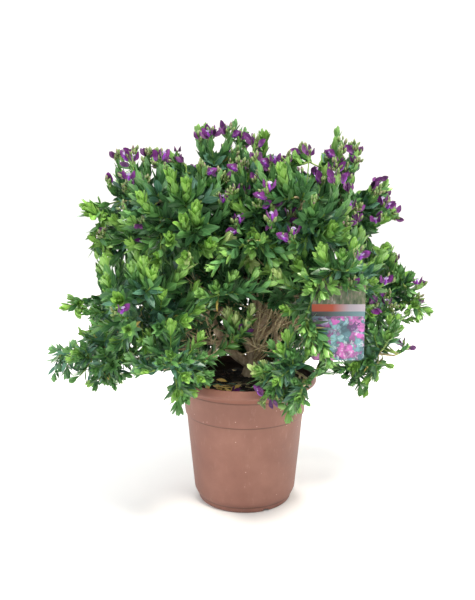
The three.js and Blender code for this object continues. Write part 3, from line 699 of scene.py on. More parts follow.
class Seats:
    """Places for one kind of small piece: where each is, how it is turned, and how large it is."""

    def __init__(self):
        self.points, self.turns, self.sizes = [], [], []

    def take(self, point, out, face, size):
        across = face.cross(out).normalized()
        upright = out.cross(across).normalized()
        turn = Matrix((out.normalized(), across, upright)).transposed()
        self.points.append(point.copy())
        self.turns.append(turn.to_euler())
        self.sizes.append(size)

    def filled(self, name, template, material, size_spread=0.0, seed=1):
        mesh = mesh_of(name + "_seats", self.points, [])
        turn = mesh.attributes.new("turn", "FLOAT_VECTOR", "POINT")
        turn.data.foreach_set("vector", [v for t in self.turns for v in t])
        size = mesh.attributes.new("size", "FLOAT", "POINT")
        size.data.foreach_set("value", self.sizes)
        return grown(name, SCATTER, mesh, {
            "Piece": template, "Size Spread": size_spread, "Seed": seed, "Finish": material})


class Chains:
    """Lines of points, each with its thickness, that become round twigs."""

    def __init__(self):
        self.points, self.radii, self.edges = [], [], []

    def take(self, points, radii):
        first = len(self.points)
        self.points += [Vector(p) for p in points]
        self.radii += list(radii)
        self.edges += [(i, i + 1) for i in range(first, len(self.points) - 1)]

    def filled(self, name, material, sides):
        mesh = mesh_of(name + "_chains", self.points, [], self.edges)
        thick = mesh.attributes.new("thick", "FLOAT", "POINT")
        thick.data.foreach_set("value", [r * MM for r in self.radii])
        return grown(name, TWIGS, mesh, {"Sides": sides, "Finish": material})


# Templates: small pieces one millimetre long, growing along +X with their face to +Z. The seats'
# sizes then make them as long as they are.

def blade_template(name, outline, fold, curl, cup):
    """A leaf or petal: two halves along a midrib, from (place, half width) pairs. fold lifts its
    edges over the midrib, curl bends it along its length, and cup lifts its edges at mid length."""
    corners, faces, marks = [], [], []
    for place, half in outline:
        height = curl * place * place
        lift = fold * half + cup * math.sin(math.pi * place) * half
        corners += [(place, half, height + lift), (place, 0, height), (place, -half, height + lift)]
        marks += [(place, 1), (place, 0), (place, 1)]
    for row in range(len(outline) - 1):
        a = row * 3
        faces += [(a + 1, a + 4, a + 3, a), (a + 2, a + 5, a + 4, a + 1)]
    mesh = mesh_of(name, corners, faces)
    layer = mesh.uv_layers.new(name="blade")
    for loop in mesh.loops:
        layer.data[loop.index].uv = marks[loop.vertex_index]
    return shown(name, merged(mesh, 0.0000001))


def scaled(outline, half):
    """An outline of shares as half widths."""
    return [(place, share * half) for place, share in outline]


# Outlines: pairs of place and share of the half width.
ELLIPTIC = [(0, 0.1), (0.1, 0.36), (0.3, 0.82), (0.55, 1), (0.78, 0.8), (0.93, 0.36), (1, 0)]
OBLONG = [(0, 0.08), (0.15, 0.5), (0.38, 0.97), (0.6, 0.95), (0.83, 0.5), (1, 0)]
LANCE = [(0, 0.08), (0.15, 0.52), (0.36, 1), (0.58, 0.9), (0.81, 0.47), (1, 0)]
PETAL = [(0, 0.1), (0.14, 0.5), (0.38, 0.94), (0.58, 1), (0.8, 0.68), (0.94, 0.27), (1, 0)]

# The forms of leaf: outline, half width, and how far each is folded, curled and cupped.
BLADES = {
    "young": (ELLIPTIC, 0.215, 0.25, 0.18, 0.2),
    "mature": (OBLONG, 0.2, 0.22, 0.08, 0.1),
    "old": (OBLONG, 0.185, 0.12, -0.14, 0),
    "lance": (LANCE, 0.135, 0.2, -0.08, 0),
}
blades = {
    form: blade_template(f"{form}_blade", scaled(outline, half), *bends)
    for form, (outline, half, *bends) in BLADES.items()}

WING_HALF_WIDTH, WING_SEAT = 0.28, (0.1, 0.06, 0.08)


def wing_template(name, stand_angle, spread_angle, rise_angle):
    """The two wing petals of a flower: rounded, cupped, spread to either side of the keel."""
    petal = blade_template("wing", scaled(PETAL, WING_HALF_WIDTH), fold=0.14, curl=0.24, cup=0.5)
    onward, aside, up = WING_SEAT
    both = bmesh.new()
    for side in (1, -1):
        copy = petal.data.copy()
        stand = Matrix.Rotation(math.radians(-stand_angle * side), 4, "X")
        spread = Matrix.Rotation(math.radians(spread_angle * side), 4, "Z")
        rise = Matrix.Rotation(math.radians(-rise_angle), 4, "Y")
        seat = Matrix.Translation(Vector((onward, aside * side, up)) * MM)
        copy.transform(seat @ spread @ rise @ stand)
        both.from_mesh(copy)
    mesh = bpy.data.meshes.new(name)
    both.to_mesh(mesh)
    both.free()
    bpy.data.objects.remove(petal)
    return shown(name, mesh)


BOAT_FULLNESS, BOAT_RISE = 0.7, 0.25


def boat_template(name, length, width, depth, rings=5, sides=8):
    """A closed spindle, wider in its middle, a little raised at its far end."""
    corners, faces = [(0, 0, 0)], []
    for ring in range(1, rings + 1):
        place = ring / (rings + 1)
        girth = math.sin(math.pi * place) ** BOAT_FULLNESS
        for i in range(sides):
            angle = 2 * math.pi * i / sides
            corners.append((place * length, girth * width / 2 * math.cos(angle),
                            girth * depth / 2 * math.sin(angle) + BOAT_RISE * place * place * length))
    corners.append((length, 0, BOAT_RISE * length))
    last = len(corners) - 1
    for i in range(sides):
        j = (i + 1) % sides
        faces.append((0, 1 + j, 1 + i))
        for ring in range(rings - 1):
            a, b = 1 + ring * sides, 1 + (ring + 1) * sides
            faces.append((a + i, a + j, b + j, b + i))
        a = 1 + (rings - 1) * sides
        faces.append((a + i, a + j, last))
    return shown(name, outward(mesh_of(name, corners, faces)))


# The crest's filaments: how many in each row and how steeply they rise, where they start on the
# keel, how wide they fan, how far they reach and rise, and half their width at the tip.
FILAMENT_ROWS = ((6, 0.35), (5, 0.75))
FILAMENT_ROOT, FILAMENT_FAN = (0.58, 0, 0.2), 130
FILAMENT_REACH, FILAMENT_RISE, FILAMENT_HALF_WIDTH = 0.22, 0.24, 0.03


def crest_template():
    """The crest: a tuft of flat filaments that fan out at the end of the keel."""
    corners, faces = [], []
    root = Vector(FILAMENT_ROOT)
    for count, rise in FILAMENT_ROWS:
        for i in range(count):
            turn = math.radians((i / (count - 1) - 0.5) * FILAMENT_FAN)
            tip = root + Vector((
                FILAMENT_REACH * math.cos(turn), FILAMENT_REACH * math.sin(turn), FILAMENT_RISE * rise))
            side = Vector((-math.sin(turn), math.cos(turn), 0)) * FILAMENT_HALF_WIDTH
            first = len(corners)
            corners += [root - side * 0.5, root + side * 0.5, tip + side, tip - side]
            faces.append((first, first + 1, first + 2, first + 3))
    return shown("crest", mesh_of("crest", corners, faces), smooth=False)


wings = wing_template("wings", stand_angle=74, spread_angle=14, rise_angle=20)
young_wings = wing_template("young_wings", stand_angle=84, spread_angle=3, rise_angle=6)
keel = boat_template("keel", length=0.72, width=0.26, depth=0.34)
crest = crest_template()
bud = boat_template("bud", length=1, width=0.42, depth=0.5, rings=3, sides=6)


# The rule of growth, as in the part's source

def way_out(azimuth):
    angle = math.radians(azimuth)
    return Vector((math.cos(angle), math.sin(angle), 0))


def reach_towards(azimuth):
    out = way_out(azimuth)
    across = REACH_LEFT if out.x < 0 else REACH_RIGHT
    along = REACH_FRONT if out.y < 0 else REACH_BACK
    return 1 / math.hypot(out.x / across, out.y / along)


class Mass:
    """One mass of foliage: its heart, spread and the way that it grows."""

    def __init__(self, name, azimuth, radius, height, spread, lift, bloom):
        out = way_out(azimuth)
        self.name, self.spread, self.lift, self.bloom = name, spread, lift, bloom
        self.heart = out * (radius * reach_towards(azimuth))
        self.heart.z = height
        self.growth = ((self.heart - CROWN_HEART).normalized() + UP * lift).normalized()
        self.heading = (out + UP * (ENTRY_RISE + lift)).normalized()
        self.entry = self.heart - self.heading * (ENTRY_DEPTH * spread)
        end = self.heart + self.growth * (STEM_END * spread)
        bend = self.entry + self.heading * (STEM_BEND * spread)
        self.stem = spaced(curve3(self.entry, bend, end), STEM_STEPS)


def curve3(start, bend, end):
    return lambda t: start * (1 - t) ** 2 + bend * (2 * t * (1 - t)) + end * t ** 2


def curve4(a, b, c, d):
    return lambda t: a * (1 - t) ** 3 + b * (3 * t * (1 - t) ** 2) + c * (3 * t * t * (1 - t)) + d * t ** 3


def spaced(curve, steps, fine=60):
    """Points evenly far apart along a curve."""
    points = [curve(i / fine) for i in range(fine + 1)]
    lengths = [0.0]
    for a, b in zip(points, points[1:]):
        lengths.append(lengths[-1] + (b - a).length)
    out, k = [], 0
    for i in range(steps + 1):
        goal = lengths[-1] * i / steps
        while k < fine - 1 and lengths[k + 1] < goal:
            k += 1
        share = (goal - lengths[k]) / max(1e-9, lengths[k + 1] - lengths[k])
        out.append(points[k].lerp(points[k + 1], min(1, share)))
    return out


def place_on(points, place):
    """The point at a place from 0 to 1 on a line of points, and the way on from there."""
    at = min(max(place, 0), 0.99999) * (len(points) - 1)
    step = int(at)
    along = points[step + 1] - points[step]
    return points[step] + along * (at - step), along.normalized()


def bough_points(start, leaving, mass):
    bend = BEND_REACH * (mass.entry - start).length
    return spaced(curve4(
        start, start + leaving * bend, mass.entry - mass.heading * bend, mass.entry), BOUGH_STEPS)


trunk_points = spaced(curve4(
    TRUNK_FOOT, TRUNK_FOOT + UP * TRUNK_RISE, TRUNK_TOP + TRUNK_ARRIVAL, TRUNK_TOP), TRUNK_STEPS)
masses = []
wood = []


def grow_frame():
    """The limbs, the boughs and the masses that they carry."""
    for side, (azimuth, fork, radius, rises) in SIDES.items():
        to_front = 1 if way_out(azimuth).x < 0 else -1
        limb = None
        for row, (tier, (across, height, spread, forward, lift, bloom, place)) in enumerate(TIERS.items()):
            turn = azimuth + forward * to_front
            rise = rises[row - 1] if row else 0
            mass = Mass(f"{tier}_{side}", turn, across, height + rise, spread, lift, bloom)
            masses.append(mass)
            if limb is None:
                start = place_on(trunk_points, fork)[0]
                limb = bough_points(start, (way_out(azimuth) + UP * LIMB_RISE).normalized(), mass)
                wood.append((f"limb_{side}", limb, radius))
                continue
            start, onward = place_on(limb, place)
            leaving = (way_out(turn) + onward * BOUGH_ALONG_LIMB).normalized()
            wood.append((f"bough_{tier}_{side}", bough_points(start, leaving, mass), BOUGH_RADIUS))
    for index, (name, (azimuth, across, height, spread, lift, bloom)) in enumerate(TOPS.items()):
        mass = Mass(name, azimuth, across, height, spread, lift, bloom)
        masses.append(mass)
        start = place_on(trunk_points, FIRST_TOP_FORK - TOP_FORK_STEP * index)[0]
        leaving = (way_out(azimuth) + UP * TOP_BOUGH_RISE).normalized()
        wood.append((f"bough_{name}", bough_points(start, leaving, mass), TOP_BOUGH_RADIUS))


grow_frame()

# The card of the label, from its node's box.
LABEL_WIDTH, LABEL_HEIGHT = 68, 102
CARD_ROOM, CARD_OVERLAP = 3, 8
label_low, label_high = (Vector(corner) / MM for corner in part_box("label"))
label_middle = (label_low.x + label_high.x) / 2
label_face = label_low.y
label_top = label_low.z + LABEL_HEIGHT


def over_label(point, margin):
    """True where a point would lie in front of the card, or touch it."""
    if not label_low.z - margin < point.z < label_top + margin:
        return False
    aside = abs(point.x - label_middle) - LABEL_WIDTH / 2
    ahead = label_face - point.y
    touching = abs(ahead) < CARD_ROOM + margin and aside < CARD_ROOM
    return touching or (ahead > 0 and aside < margin - CARD_OVERLAP)


def at_label(point, margin):
    """True where a point would touch the card."""
    return (label_low.z - margin < point.z < label_top + margin
            and abs(point.y - label_face) < margin + 1
            and abs(point.x - label_middle) < LABEL_WIDTH / 2 + margin)


def in_pot(point, margin):
    return point.z < POT_HEIGHT + margin and math.hypot(point.x, point.y) < RIM_RADIUS + margin


def on_sight(x, height, depth):
    """The point at a depth that is seen where the line of sight crosses the plane y = 0."""
    return CAMERA + (Vector((x, 0, height)) - CAMERA) * ((depth - CAMERA.y) / -CAMERA.y)


def as_seen(point):
    """Where a point's line of sight crosses the plane y = 0: its x and height."""
    place = CAMERA + (point - CAMERA) * (-CAMERA.y / (point.y - CAMERA.y))
    return place.x, place.z


def in_notch(point):
    x, height = as_seen(point)
    return any(math.hypot(x - at, height - level) < radius for at, level, radius in NOTCHES)


def free(points, margin):
    """True where a line keeps off the pot, the card and its front, and the notches."""
    return not any(in_pot(p, margin) or over_label(p, margin) or in_notch(p) for p in points)


def free_of_card(points, margin):
    """The same for the sprays, which may hang in front of the card."""
    return not any(in_pot(p, margin) or in_notch(p) or at_label(p, margin) for p in points)


# The lines of shoots and twigs

# How far shoots, twigs and leaves keep off what is in their way, and how many points at the foot
# of a line may touch what carries it.
SHOOT_MARGIN, TWIG_MARGIN, LEAF_MARGIN = 4, 5, 3
FOOT_POINTS = 2
# How a line bends, with no lift and how much more with full lift.
BEND_ACROSS = (0.55, 0.27)
BEND_RISE = (0.55, -0.35)
BEND_DROP = (0.75, 0.5)
END_TURN = 4
END_RISE_FROM, END_RISE_OVER = 240, 120

woody = Chains()
green = Chains()
leaf_seats = {(skin, form): Seats() for skin in leaf_skins for form in BLADES}
flower_seats, young_seats, bud_seats = Seats(), Seats(), Seats()


def graded(grade, share):
    """A value that starts at the grade's first number, and changes by its second as share goes to 1."""
    return grade[0] + grade[1] * share


def from_0_to_1(value):
    return min(1, max(0, value))


def tapered(line, thick, thinner):
    """Radii along a line, each thinner than the one before."""
    return [thick - thinner * k for k in range(len(line))]


def loose_way(pick, low, high):
    """A random way, whose rise lies from low to high."""
    return Vector((pick.uniform(-1, 1), pick.uniform(-1, 1), pick.uniform(low, high)))


def arched(start, tip, across, rise, lift=0):
    """A line that goes across first, and then up or down to its tip. Its end turns up by a lift."""
    way = tip - UP * lift - start
    bend = start + Vector((way.x, way.y, 0)) * across + UP * (way.z * rise)
    line = spaced(curve3(start, bend, tip - UP * lift), LINE_STEPS)
    return [point + UP * lift * (i / LINE_STEPS) ** END_TURN for i, point in enumerate(line)]


def turned_up(start, tip, share, lift=0):
    """A line that goes out first and then up to its tip, or that hangs and then turns up."""
    rise = BEND_RISE if tip.z > start.z else BEND_DROP
    return arched(start, tip, graded(BEND_ACROSS, share), graded(rise, share), lift)


def end_lift(tip):
    """How far a shoot's end turns up: the most high in the crown, and nothing where shoots hang."""
    return END_RISE * from_0_to_1((tip.z - END_RISE_FROM) / END_RISE_OVER)


def square_to(along):
    """Two directions square to a way and to each other."""
    side = along.cross(UP)
    if side.length < 0.05:
        side = along.cross(Vector((1, 0, 0)))
    side.normalize()
    return side, side.cross(along)


class Shoot:
    """A leafy shoot: its line from foot to tip, and its own random draws."""

    def __init__(self, line, seed, kind=None, rule=free):
        self.line, self.random, self.kind, self.rule = line, random.Random(seed), kind, rule
        self.length = sum((b - a).length for a, b in zip(line, line[1:]))
        self.leafy, self.scale = LEAFY_LENGTH, 1
        # Its truss, if any: how many flowers are open, and how many are half open.
        self.truss = None
        # How low in the crown it ends, from 0 at the shoulders to 1 at the skirts.
        self.low = from_0_to_1((SHOULDERS_END - line[-1].z) / SKIRTS_BELOW)


# Leaves and blossom on a shoot

# What a shoot's leaves look like from its tip down: rosette, then three stretches of its length.
# After them, how often this dress is picked: under a truss, and high in the crown, with how much
# more low in it. The darker dresses picked more often low in the crown are painted shade.
DRESSES = {
    "bright": (("tip", "fresh", "green", "deep"), 0, (8, -8)),
    "plain": (("fresh", "green", "deep", "deep"), 5, (6, -5)),
    "dusky": (("green", "green", "deep", "blue"), 4, (4, 0)),
    "bluish": (("fresh", "green", "blue", "deep"), 1, (0.8, 2)),
    "shaded": (("deep", "deep", "deep", "deep"), 0, (0, 0)),
    "tipped": (("tip", "green", "deep", "blue"), 0, (0, 4)),
    "cool": (("green", "deep", "blue", "deep"), 0, (0, 6)),
    "pale": (("cream", "fresh", "green", "deep"), 0, (0, 0)),
}

# A rosette's leaves: how many a truss takes up, how they change from its heart to its edge, and
# how far they stray from that.
LEAVES_FOR_A_TRUSS = 6
ROSETTE_DEPTHS = (0.5, 9)
ROSETTE_ANGLES, ROSETTE_ANGLE_STRAY = (7, 37), 5
ROSETTE_SIZES, ROSETTE_SIZE_STRAY = (9, 10), 1.2
ROSETTE_SWELL = 0.8
LOW_ROSETTE_SIZES = (1, -0.2)
# The leaves below it, from where its own end: their angles, sizes and forms.
ROSETTE_END = 12
SHOOT_SIZES = (1.1, -0.1)
SHOOT_SIZE_STRAY = (0.86, 1.16)
LEAFY_STRAY = (0.8, 1.1)
LEAF_ANGLES, LEAF_OPENING, LEAF_ANGLE_STRAY = (20, 20), 26, 8
LEAF_SIZES, LEAF_SIZE_STRAY = (18, 4.5), 2.5
YELLOWED_LEAVES, YELLOWED_SIZE = 0.012, 0.8
LOW_LANCE_LEAVES = 0.85
OLD_LEAVES_FROM, YELLOWED_FROM = 0.6, 0.5
LEAF_PLACE_STRAY, STRETCH_STRAY, STRETCH_SHIFT = 0.5, 0.7, 0.2
SIZE_BEFORE_SPACING = 0.15
LEAF_TEST_PLACES = (0.3, 0.65, 1)
LEAF_FOOT = 0.6


def leaf_at(shoot, depth, around, open_angle, leaf_length, skin, form):
    """One leaf, at a depth below the shoot's tip. It opens from the shoot by an angle, and lifts
    towards the light."""
    point, along = place_on(shoot.line, 1 - depth / shoot.length)
    first, second = square_to(along)
    side = first * math.cos(around) + second * math.sin(around)
    lift = LEAF_LIFT - LOW_LEAF_LIFT * shoot.low
    out = (along * math.cos(open_angle) + side * math.sin(open_angle) + UP * lift).normalized()
    face = along * math.sin(open_angle) - side * math.cos(open_angle)
    if shoot.rule([point + out * leaf_length * s for s in LEAF_TEST_PLACES], LEAF_MARGIN):
        leaf_seats[skin, form].take(point + side * LEAF_FOOT, out, face, leaf_length)


def stray(pick, most):
    return pick.uniform(-most, most)


def dress_shoot(shoot):
    """Clothes a shoot with a rosette of young leaves at its tip, and larger leaves below it."""
    pick, low = shoot.random, shoot.low
    shares = [
        under_truss if shoot.truss else graded(grade, low)
        for _, under_truss, grade in DRESSES.values()]
    kind = shoot.kind or pick.choices(list(DRESSES), shares)[0]
    rosette, *stretches = DRESSES[kind][0]
    start = pick.random() * 2 * math.pi
    scale = shoot.scale * graded(SHOOT_SIZES, low) * pick.uniform(*SHOOT_SIZE_STRAY)
    petals = ROSETTE_LEAVES - (LEAVES_FOR_A_TRUSS if shoot.truss else 0)
    for i in range(petals):
        share = i / (ROSETTE_LEAVES - 1)
        open_angle = math.radians(graded(ROSETTE_ANGLES, share) + stray(pick, ROSETTE_ANGLE_STRAY))
        size = scale * graded(LOW_ROSETTE_SIZES, low) * (
            graded(ROSETTE_SIZES, share ** ROSETTE_SWELL) + stray(pick, ROSETTE_SIZE_STRAY))
        depth = graded(ROSETTE_DEPTHS, share)
        leaf_at(shoot, depth, start + i * GOLDEN_ANGLE, open_angle, size, rosette, "young")
    leafy = min(shoot.length - 2, shoot.leafy * pick.uniform(*LEAFY_STRAY))
    spacing = LEAF_SPACING * max(1, shoot.scale - SIZE_BEFORE_SPACING) ** 2
    count = max(0, int((leafy - ROSETTE_END) / spacing))
    for i in range(count):
        share = (i + pick.random() * LEAF_PLACE_STRAY) / count
        open_angle = math.radians(
            graded(LEAF_ANGLES, low) + LEAF_OPENING * share + stray(pick, LEAF_ANGLE_STRAY))
        size = scale * (graded(LEAF_SIZES, min(1, share * 2)) + stray(pick, LEAF_SIZE_STRAY))
        skin = stretches[min(2, int(share * 3 + pick.random() * STRETCH_STRAY - STRETCH_SHIFT))]
        if share > YELLOWED_FROM and pick.random() < YELLOWED_LEAVES:
            skin, size = "yellowed", size * YELLOWED_SIZE
        form = "mature" if share < OLD_LEAVES_FROM else "old"
        if pick.random() < LOW_LANCE_LEAVES * low:
            form = "lance"
        depth = ROSETTE_END + (leafy - ROSETTE_END) * share
        leaf_at(shoot, depth, start + (i + petals) * GOLDEN_ANGLE, open_angle, size, skin, form)


# The heads of a truss: how far each kind leans out from the shoot, and its size.
BUD_COUNTS = (5, 6, 7, 8, 9)
OPEN_LEAN, HALF_OPEN_LEAN, BUD_LEAN = (40, 80), (20, 60), (8, 50)
OPEN_SIZE, HALF_OPEN_SIZE, BUD_SIZE = (14, 17), (11.5, 14.5), (7, 10.5)
CALYX_SIZE, CALYX_BACK = 5.5, 1.5
FIRST_FLOWER_DROP, FLOWER_DROP = 3, 2
BUD_FEET, BUD_STALKS = (-6, 4), (3, 7)
FLOWER_STALK, STALK_RADIUS = 5, 0.5
FLOWER_ROOM = 15


def bloom_shoot(shoot):
    """A truss at a shoot's tip: open flowers lowest, then half open ones, then buds."""
    pick = shoot.random
    tip, along = shoot.line[-1], (shoot.line[-1] - shoot.line[-2]).normalized()
    first, second = square_to(along)
    opened, half_open = shoot.truss
    buds = pick.choice(BUD_COUNTS)
    start = pick.random() * 2 * math.pi
    for i in range(opened + half_open + buds):
        flower = i < opened + half_open
        leans = OPEN_LEAN if i < opened else HALF_OPEN_LEAN if flower else BUD_LEAN
        lean = math.radians(pick.uniform(*leans))
        if flower:
            foot, stalk = tip - along * (FIRST_FLOWER_DROP + FLOWER_DROP * i), FLOWER_STALK
        else:
            foot = tip + along * pick.uniform(*BUD_FEET)
            stalk = pick.uniform(*BUD_STALKS)
        for turned in range(FLOWER_TURNS if flower else 1):
            around = start + i * GOLDEN_ANGLE + turned * math.pi / 3
            side = first * math.cos(around) + second * math.sin(around)
            out = along * math.cos(lean) + side * math.sin(lean)
            head = foot + out * stalk
            if shoot.rule([head, head + out * FLOWER_ROOM], LEAF_MARGIN):
                break
        else:
            continue
        face = UP - out * out.z
        face = face.normalized() if face.length > 0.2 else second
        green.take([foot, head], [STALK_RADIUS, STALK_RADIUS])
        if not flower:
            bud_seats.take(head, out, face, pick.uniform(*BUD_SIZE))
            continue
        if i < opened:
            flower_seats.take(head, out, face, pick.uniform(*OPEN_SIZE))
        else:
            young_seats.take(head, out, face, pick.uniform(*HALF_OPEN_SIZE))
        bud_seats.take(head - out * CALYX_BACK, out, face, CALYX_SIZE)


# The least share of a shoot that is tan, and how much of its leafy length is green.
LEAST_TAN, GREEN_OF_LEAFY = 0.1, 0.75


def lay_shoot(shoot):
    """The shoot's own wood: tan up to the leafy part, and green from there to the tip."""
    bare = max(LEAST_TAN, 1 - GREEN_OF_LEAFY * shoot.leafy / shoot.length)
    count = len(shoot.line) - 1
    radii = [SHOOT_RADIUS + (SHOOT_TIP_RADIUS - SHOOT_RADIUS) * i / count for i in range(count + 1)]
    split = max(1, round(bare * count))
    woody.take(shoot.line[:split + 1], radii[:split + 1])
    green.take(shoot.line[split:], radii[split:])
    dress_shoot(shoot)
    if shoot.truss:
        bloom_shoot(shoot)


# The shoots of a mass

TILT_STRAY = 14
TURN_STRAY, MORE_TURN_STRAY = 30, 20
SHOOT_LIFT = 0.45
STEM_TIP_RADIUS, STEM_SUNK = 1.6, 3
FORK_PLACES = (0.15, 0.5)
SIDE_SHOOT_TURN, SIDE_SHOOT_SEEDS = 65, 20
# Where shoots flower by chance: at the back as often as the mass says, and seldom high in front.
BACK_FROM, HIGH_FROM, TOP_FROM = 20, 400, 440
STRAY_TRUSSES, BUDDING_SHOOTS = 0.02, 0.7
BACK_TRUSSES = ((1, 1), (2, 1), (2, 2), (1, 3), (0, 3))
BUDDING_TRUSSES = ((0, 0), (0, 0), (0, 1))


def shoot_line(mass, pick, tilt, around, attempt, start=None):
    """A shoot from its foot to its tip on the mass's cap, which turns up, or hangs, as it goes."""
    side = mass.growth.cross(UP).normalized()
    over = side.cross(mass.growth)
    tilt += math.radians(TILT_STRAY * (attempt + 0.5) * (pick.random() - 0.5))
    around += math.radians((TURN_STRAY + MORE_TURN_STRAY * attempt) * (pick.random() - 0.5))
    direction = mass.growth * math.cos(tilt) + side * (math.sin(tilt) * math.cos(around)) \
        + over * (math.sin(tilt) * math.sin(around))
    share = LEAST_REACH + MORE_REACH * pick.random() - SHORTER_EACH_TRY * attempt
    tip = mass.heart + direction * (mass.spread * share - ROSETTE_BEYOND_TIP)
    if start is None:
        lean = min(1, tilt / math.radians(CAP_ANGLE))
        start = place_on(mass.stem, HIGHEST_SHOOT_FOOT - SHOOT_FOOT_RANGE * lean)[0]
    return turned_up(start, tip, min(1, SHOOT_LIFT + mass.lift), end_lift(tip))


def try_shoots(mass, seed, count, turn, starts=None):
    """Shoots spread evenly over the mass's cap. Side shoots fork from the main ones in starts."""
    found = []
    cap = 1 - math.cos(math.radians(CAP_ANGLE))
    for slot in range(count):
        own_seed = MASS_SEED_STEP * seed + (slot if starts is None else SIDE_SHOOT_SEEDS + slot)
        pick = random.Random(own_seed)
        tilt = math.acos(1 - (slot + 0.5) / count * cap)
        around = slot * GOLDEN_ANGLE + turn
        for attempt in range(SHOOT_TRIES):
            foot = None
            if starts:
                aim = shoot_line(mass, pick, tilt, around, 0)[-1]
                near = min(starts, key=lambda shoot: (shoot.line[-1] - aim).length)
                foot = place_on(near.line, pick.uniform(*FORK_PLACES))[0]
            line = shoot_line(mass, pick, tilt, around, attempt, foot)
            if free(line[FOOT_POINTS:], SHOOT_MARGIN):
                found.append(chance_truss(Shoot(line, own_seed), mass, pick))
                break
    return found


def chance_truss(shoot, mass, pick):
    tip = shoot.line[-1]
    chance = pick.random()
    if chance < (mass.bloom if tip.y > BACK_FROM else STRAY_TRUSSES if tip.z > HIGH_FROM else 0):
        shoot.truss = pick.choice(BACK_TRUSSES)
    elif tip.z > TOP_FROM and chance < BUDDING_SHOOTS:
        shoot.truss = pick.choice(BUDDING_TRUSSES)
    return shoot


def grow_mass(mass, seed):
    """The mass's own stem, its main shoots and the side shoots that fork from them."""
    steps = len(mass.stem) - 1
    stem_radii = [TIP_RADIUS + (STEM_TIP_RADIUS - TIP_RADIUS) * i / steps for i in range(steps + 1)]
    woody.take([mass.entry - mass.heading * STEM_SUNK] + mass.stem, [TIP_RADIUS] + stem_radii)
    main = try_shoots(mass, seed, MAIN_SHOOTS, 0)
    return main + try_shoots(mass, seed, SIDE_SHOOTS, math.radians(SIDE_SHOOT_TURN), main)


# What the photograph shows in its own place

# How the nearest shoot is picked: what a millimetre of depth counts, and a shoot already placed.
DEPTH_COUNTS, PLACED_COUNTS = 0.12, 60
FURTHEST_MOVE = 34
TIP_BELOW_HEAD = 5
PLACED_ACROSS, PLACED_RISE, PLACED_DROP = 0.75, 0.3, 1.1
LOW_ROSETTES_FROM, PLACED_ROSETTE_SIZE = 0.4, 1.12
FRONT_TO = 60


def bring_shoot(shoots, placed, x, height):
    """Brings the nearest shoot in sight to a place, if it can get there, and returns it."""
    def miss(shoot):
        at, level = as_seen(shoot.line[-1])
        return math.hypot(at - x, level - height) + DEPTH_COUNTS * shoot.line[-1].y \
            + (PLACED_COUNTS if shoot in placed else 0)
    nearest = sorted(shoots, key=miss)[:TRUSS_TRIES]
    for shoot in nearest:
        tip = on_sight(x, height, shoot.line[-1].y)
        rise = PLACED_RISE if tip.z > shoot.line[0].z else PLACED_DROP
        line = arched(shoot.line[0], tip, PLACED_ACROSS, rise, end_lift(tip))
        if (tip - shoot.line[-1]).length < FURTHEST_MOVE and not any(in_notch(p) for p in line[2:8]):
            shoot.line = line
            break
    else:
        shoot = nearest[0]
    placed.add(shoot)
    return shoot


def set_front(shoots):
    """Sets the trusses in flower and the rosettes that are in sight on the front side."""
    placed = set()
    for x, height, opened, half_open in TRUSSES:
        bring_shoot(shoots, placed, x, height - TIP_BELOW_HEAD).truss = (opened, half_open)
    leafy = [shoot for shoot in shoots if shoot not in placed]
    placed = set()
    for kind, places in ROSETTES.items():
        for x, height in places:
            shoot = bring_shoot(leafy, placed, x, height - TIP_BELOW_HEAD)
            # Rosettes low in the crown take the darker tipped dress, as painted shade.
            shoot.kind = "tipped" if kind == "bright" and shoot.low > LOW_ROSETTES_FROM else kind
            shoot.truss, shoot.scale = None, PLACED_ROSETTE_SIZE


SPRAY_TRUSSES = ((1, 0), (1, 1), (2, 1))
SPRAY_LEAFY_LENGTH = 105
SPRAY_RISE = 0.25
SIDE_TIP_ACROSS, SIDE_TIP_RISE, SIDE_TIP_STEP = 0.7, 0.3, 6


def grow_sprays():
    """Each spray's own line out of its mass, and a side shoot from it to each further tip."""
    sprays = []
    for index, (carrier, depth, across, kind, scale, blooming, tips) in enumerate(SPRAYS.values()):
        mass = next(m for m in masses if m.name == carrier)
        goal = on_sight(*tips[0], depth)
        foot = min(mass.stem, key=lambda p: (p - goal).length)
        main = arched(foot, goal, across, SPRAY_RISE, end_lift(goal))
        for k, tip in enumerate(tips):
            line = main
            if k:
                start = min(main[3:8], key=lambda p: (p - on_sight(*tip, depth)).length)
                end = on_sight(*tip, depth + SIDE_TIP_STEP * (k % 3) - SIDE_TIP_STEP)
                line = arched(start, end, SIDE_TIP_ACROSS, SIDE_TIP_RISE, end_lift(end))
            if k and any(in_notch(p) for p in line[7:]):
                continue
            shoot = Shoot(line, SPRAY_SEEDS + 10 * index + k, kind, free_of_card)
            shoot.leafy, shoot.scale = SPRAY_LEAFY_LENGTH, scale
            shoot.truss = shoot.random.choice(SPRAY_TRUSSES) if k in blooming else None
            sprays.append(shoot)
    return sprays


# Twigs inside the crown

# How thick each kind of twig is at its foot, and how much thinner from point to point.
BARE_TWIG, LEAFY_TWIG, NET_TWIG, FAN_STEM = (1.2, 0.08), (1.3, 0.08), (1.25, 0.075), (1.7, 0.09)

# The bare twigs that fork from each: from which points, their least rise, how far they swing off
# the way, their lengths, how they bend, if not like a shoot with FORK_LIFT, and how thick they are.
BOUGH_FORKS = ((2, 6), -0.2, 1, (25, 55), None, (0.7, 0.035))
NET_FORKS = ((3, 7), 0, 0.8, (30, 60), (0.55, 0.4), (0.75, 0.04))
FAN_FORKS = ((3, 7), 0, 0.7, (30, 60), (0.5, 0.4), (0.8, 0.04))
FORK_COUNTS, FAN_FORK_COUNT = (1, 2, 3), 2
FORK_LIFT = 0.3


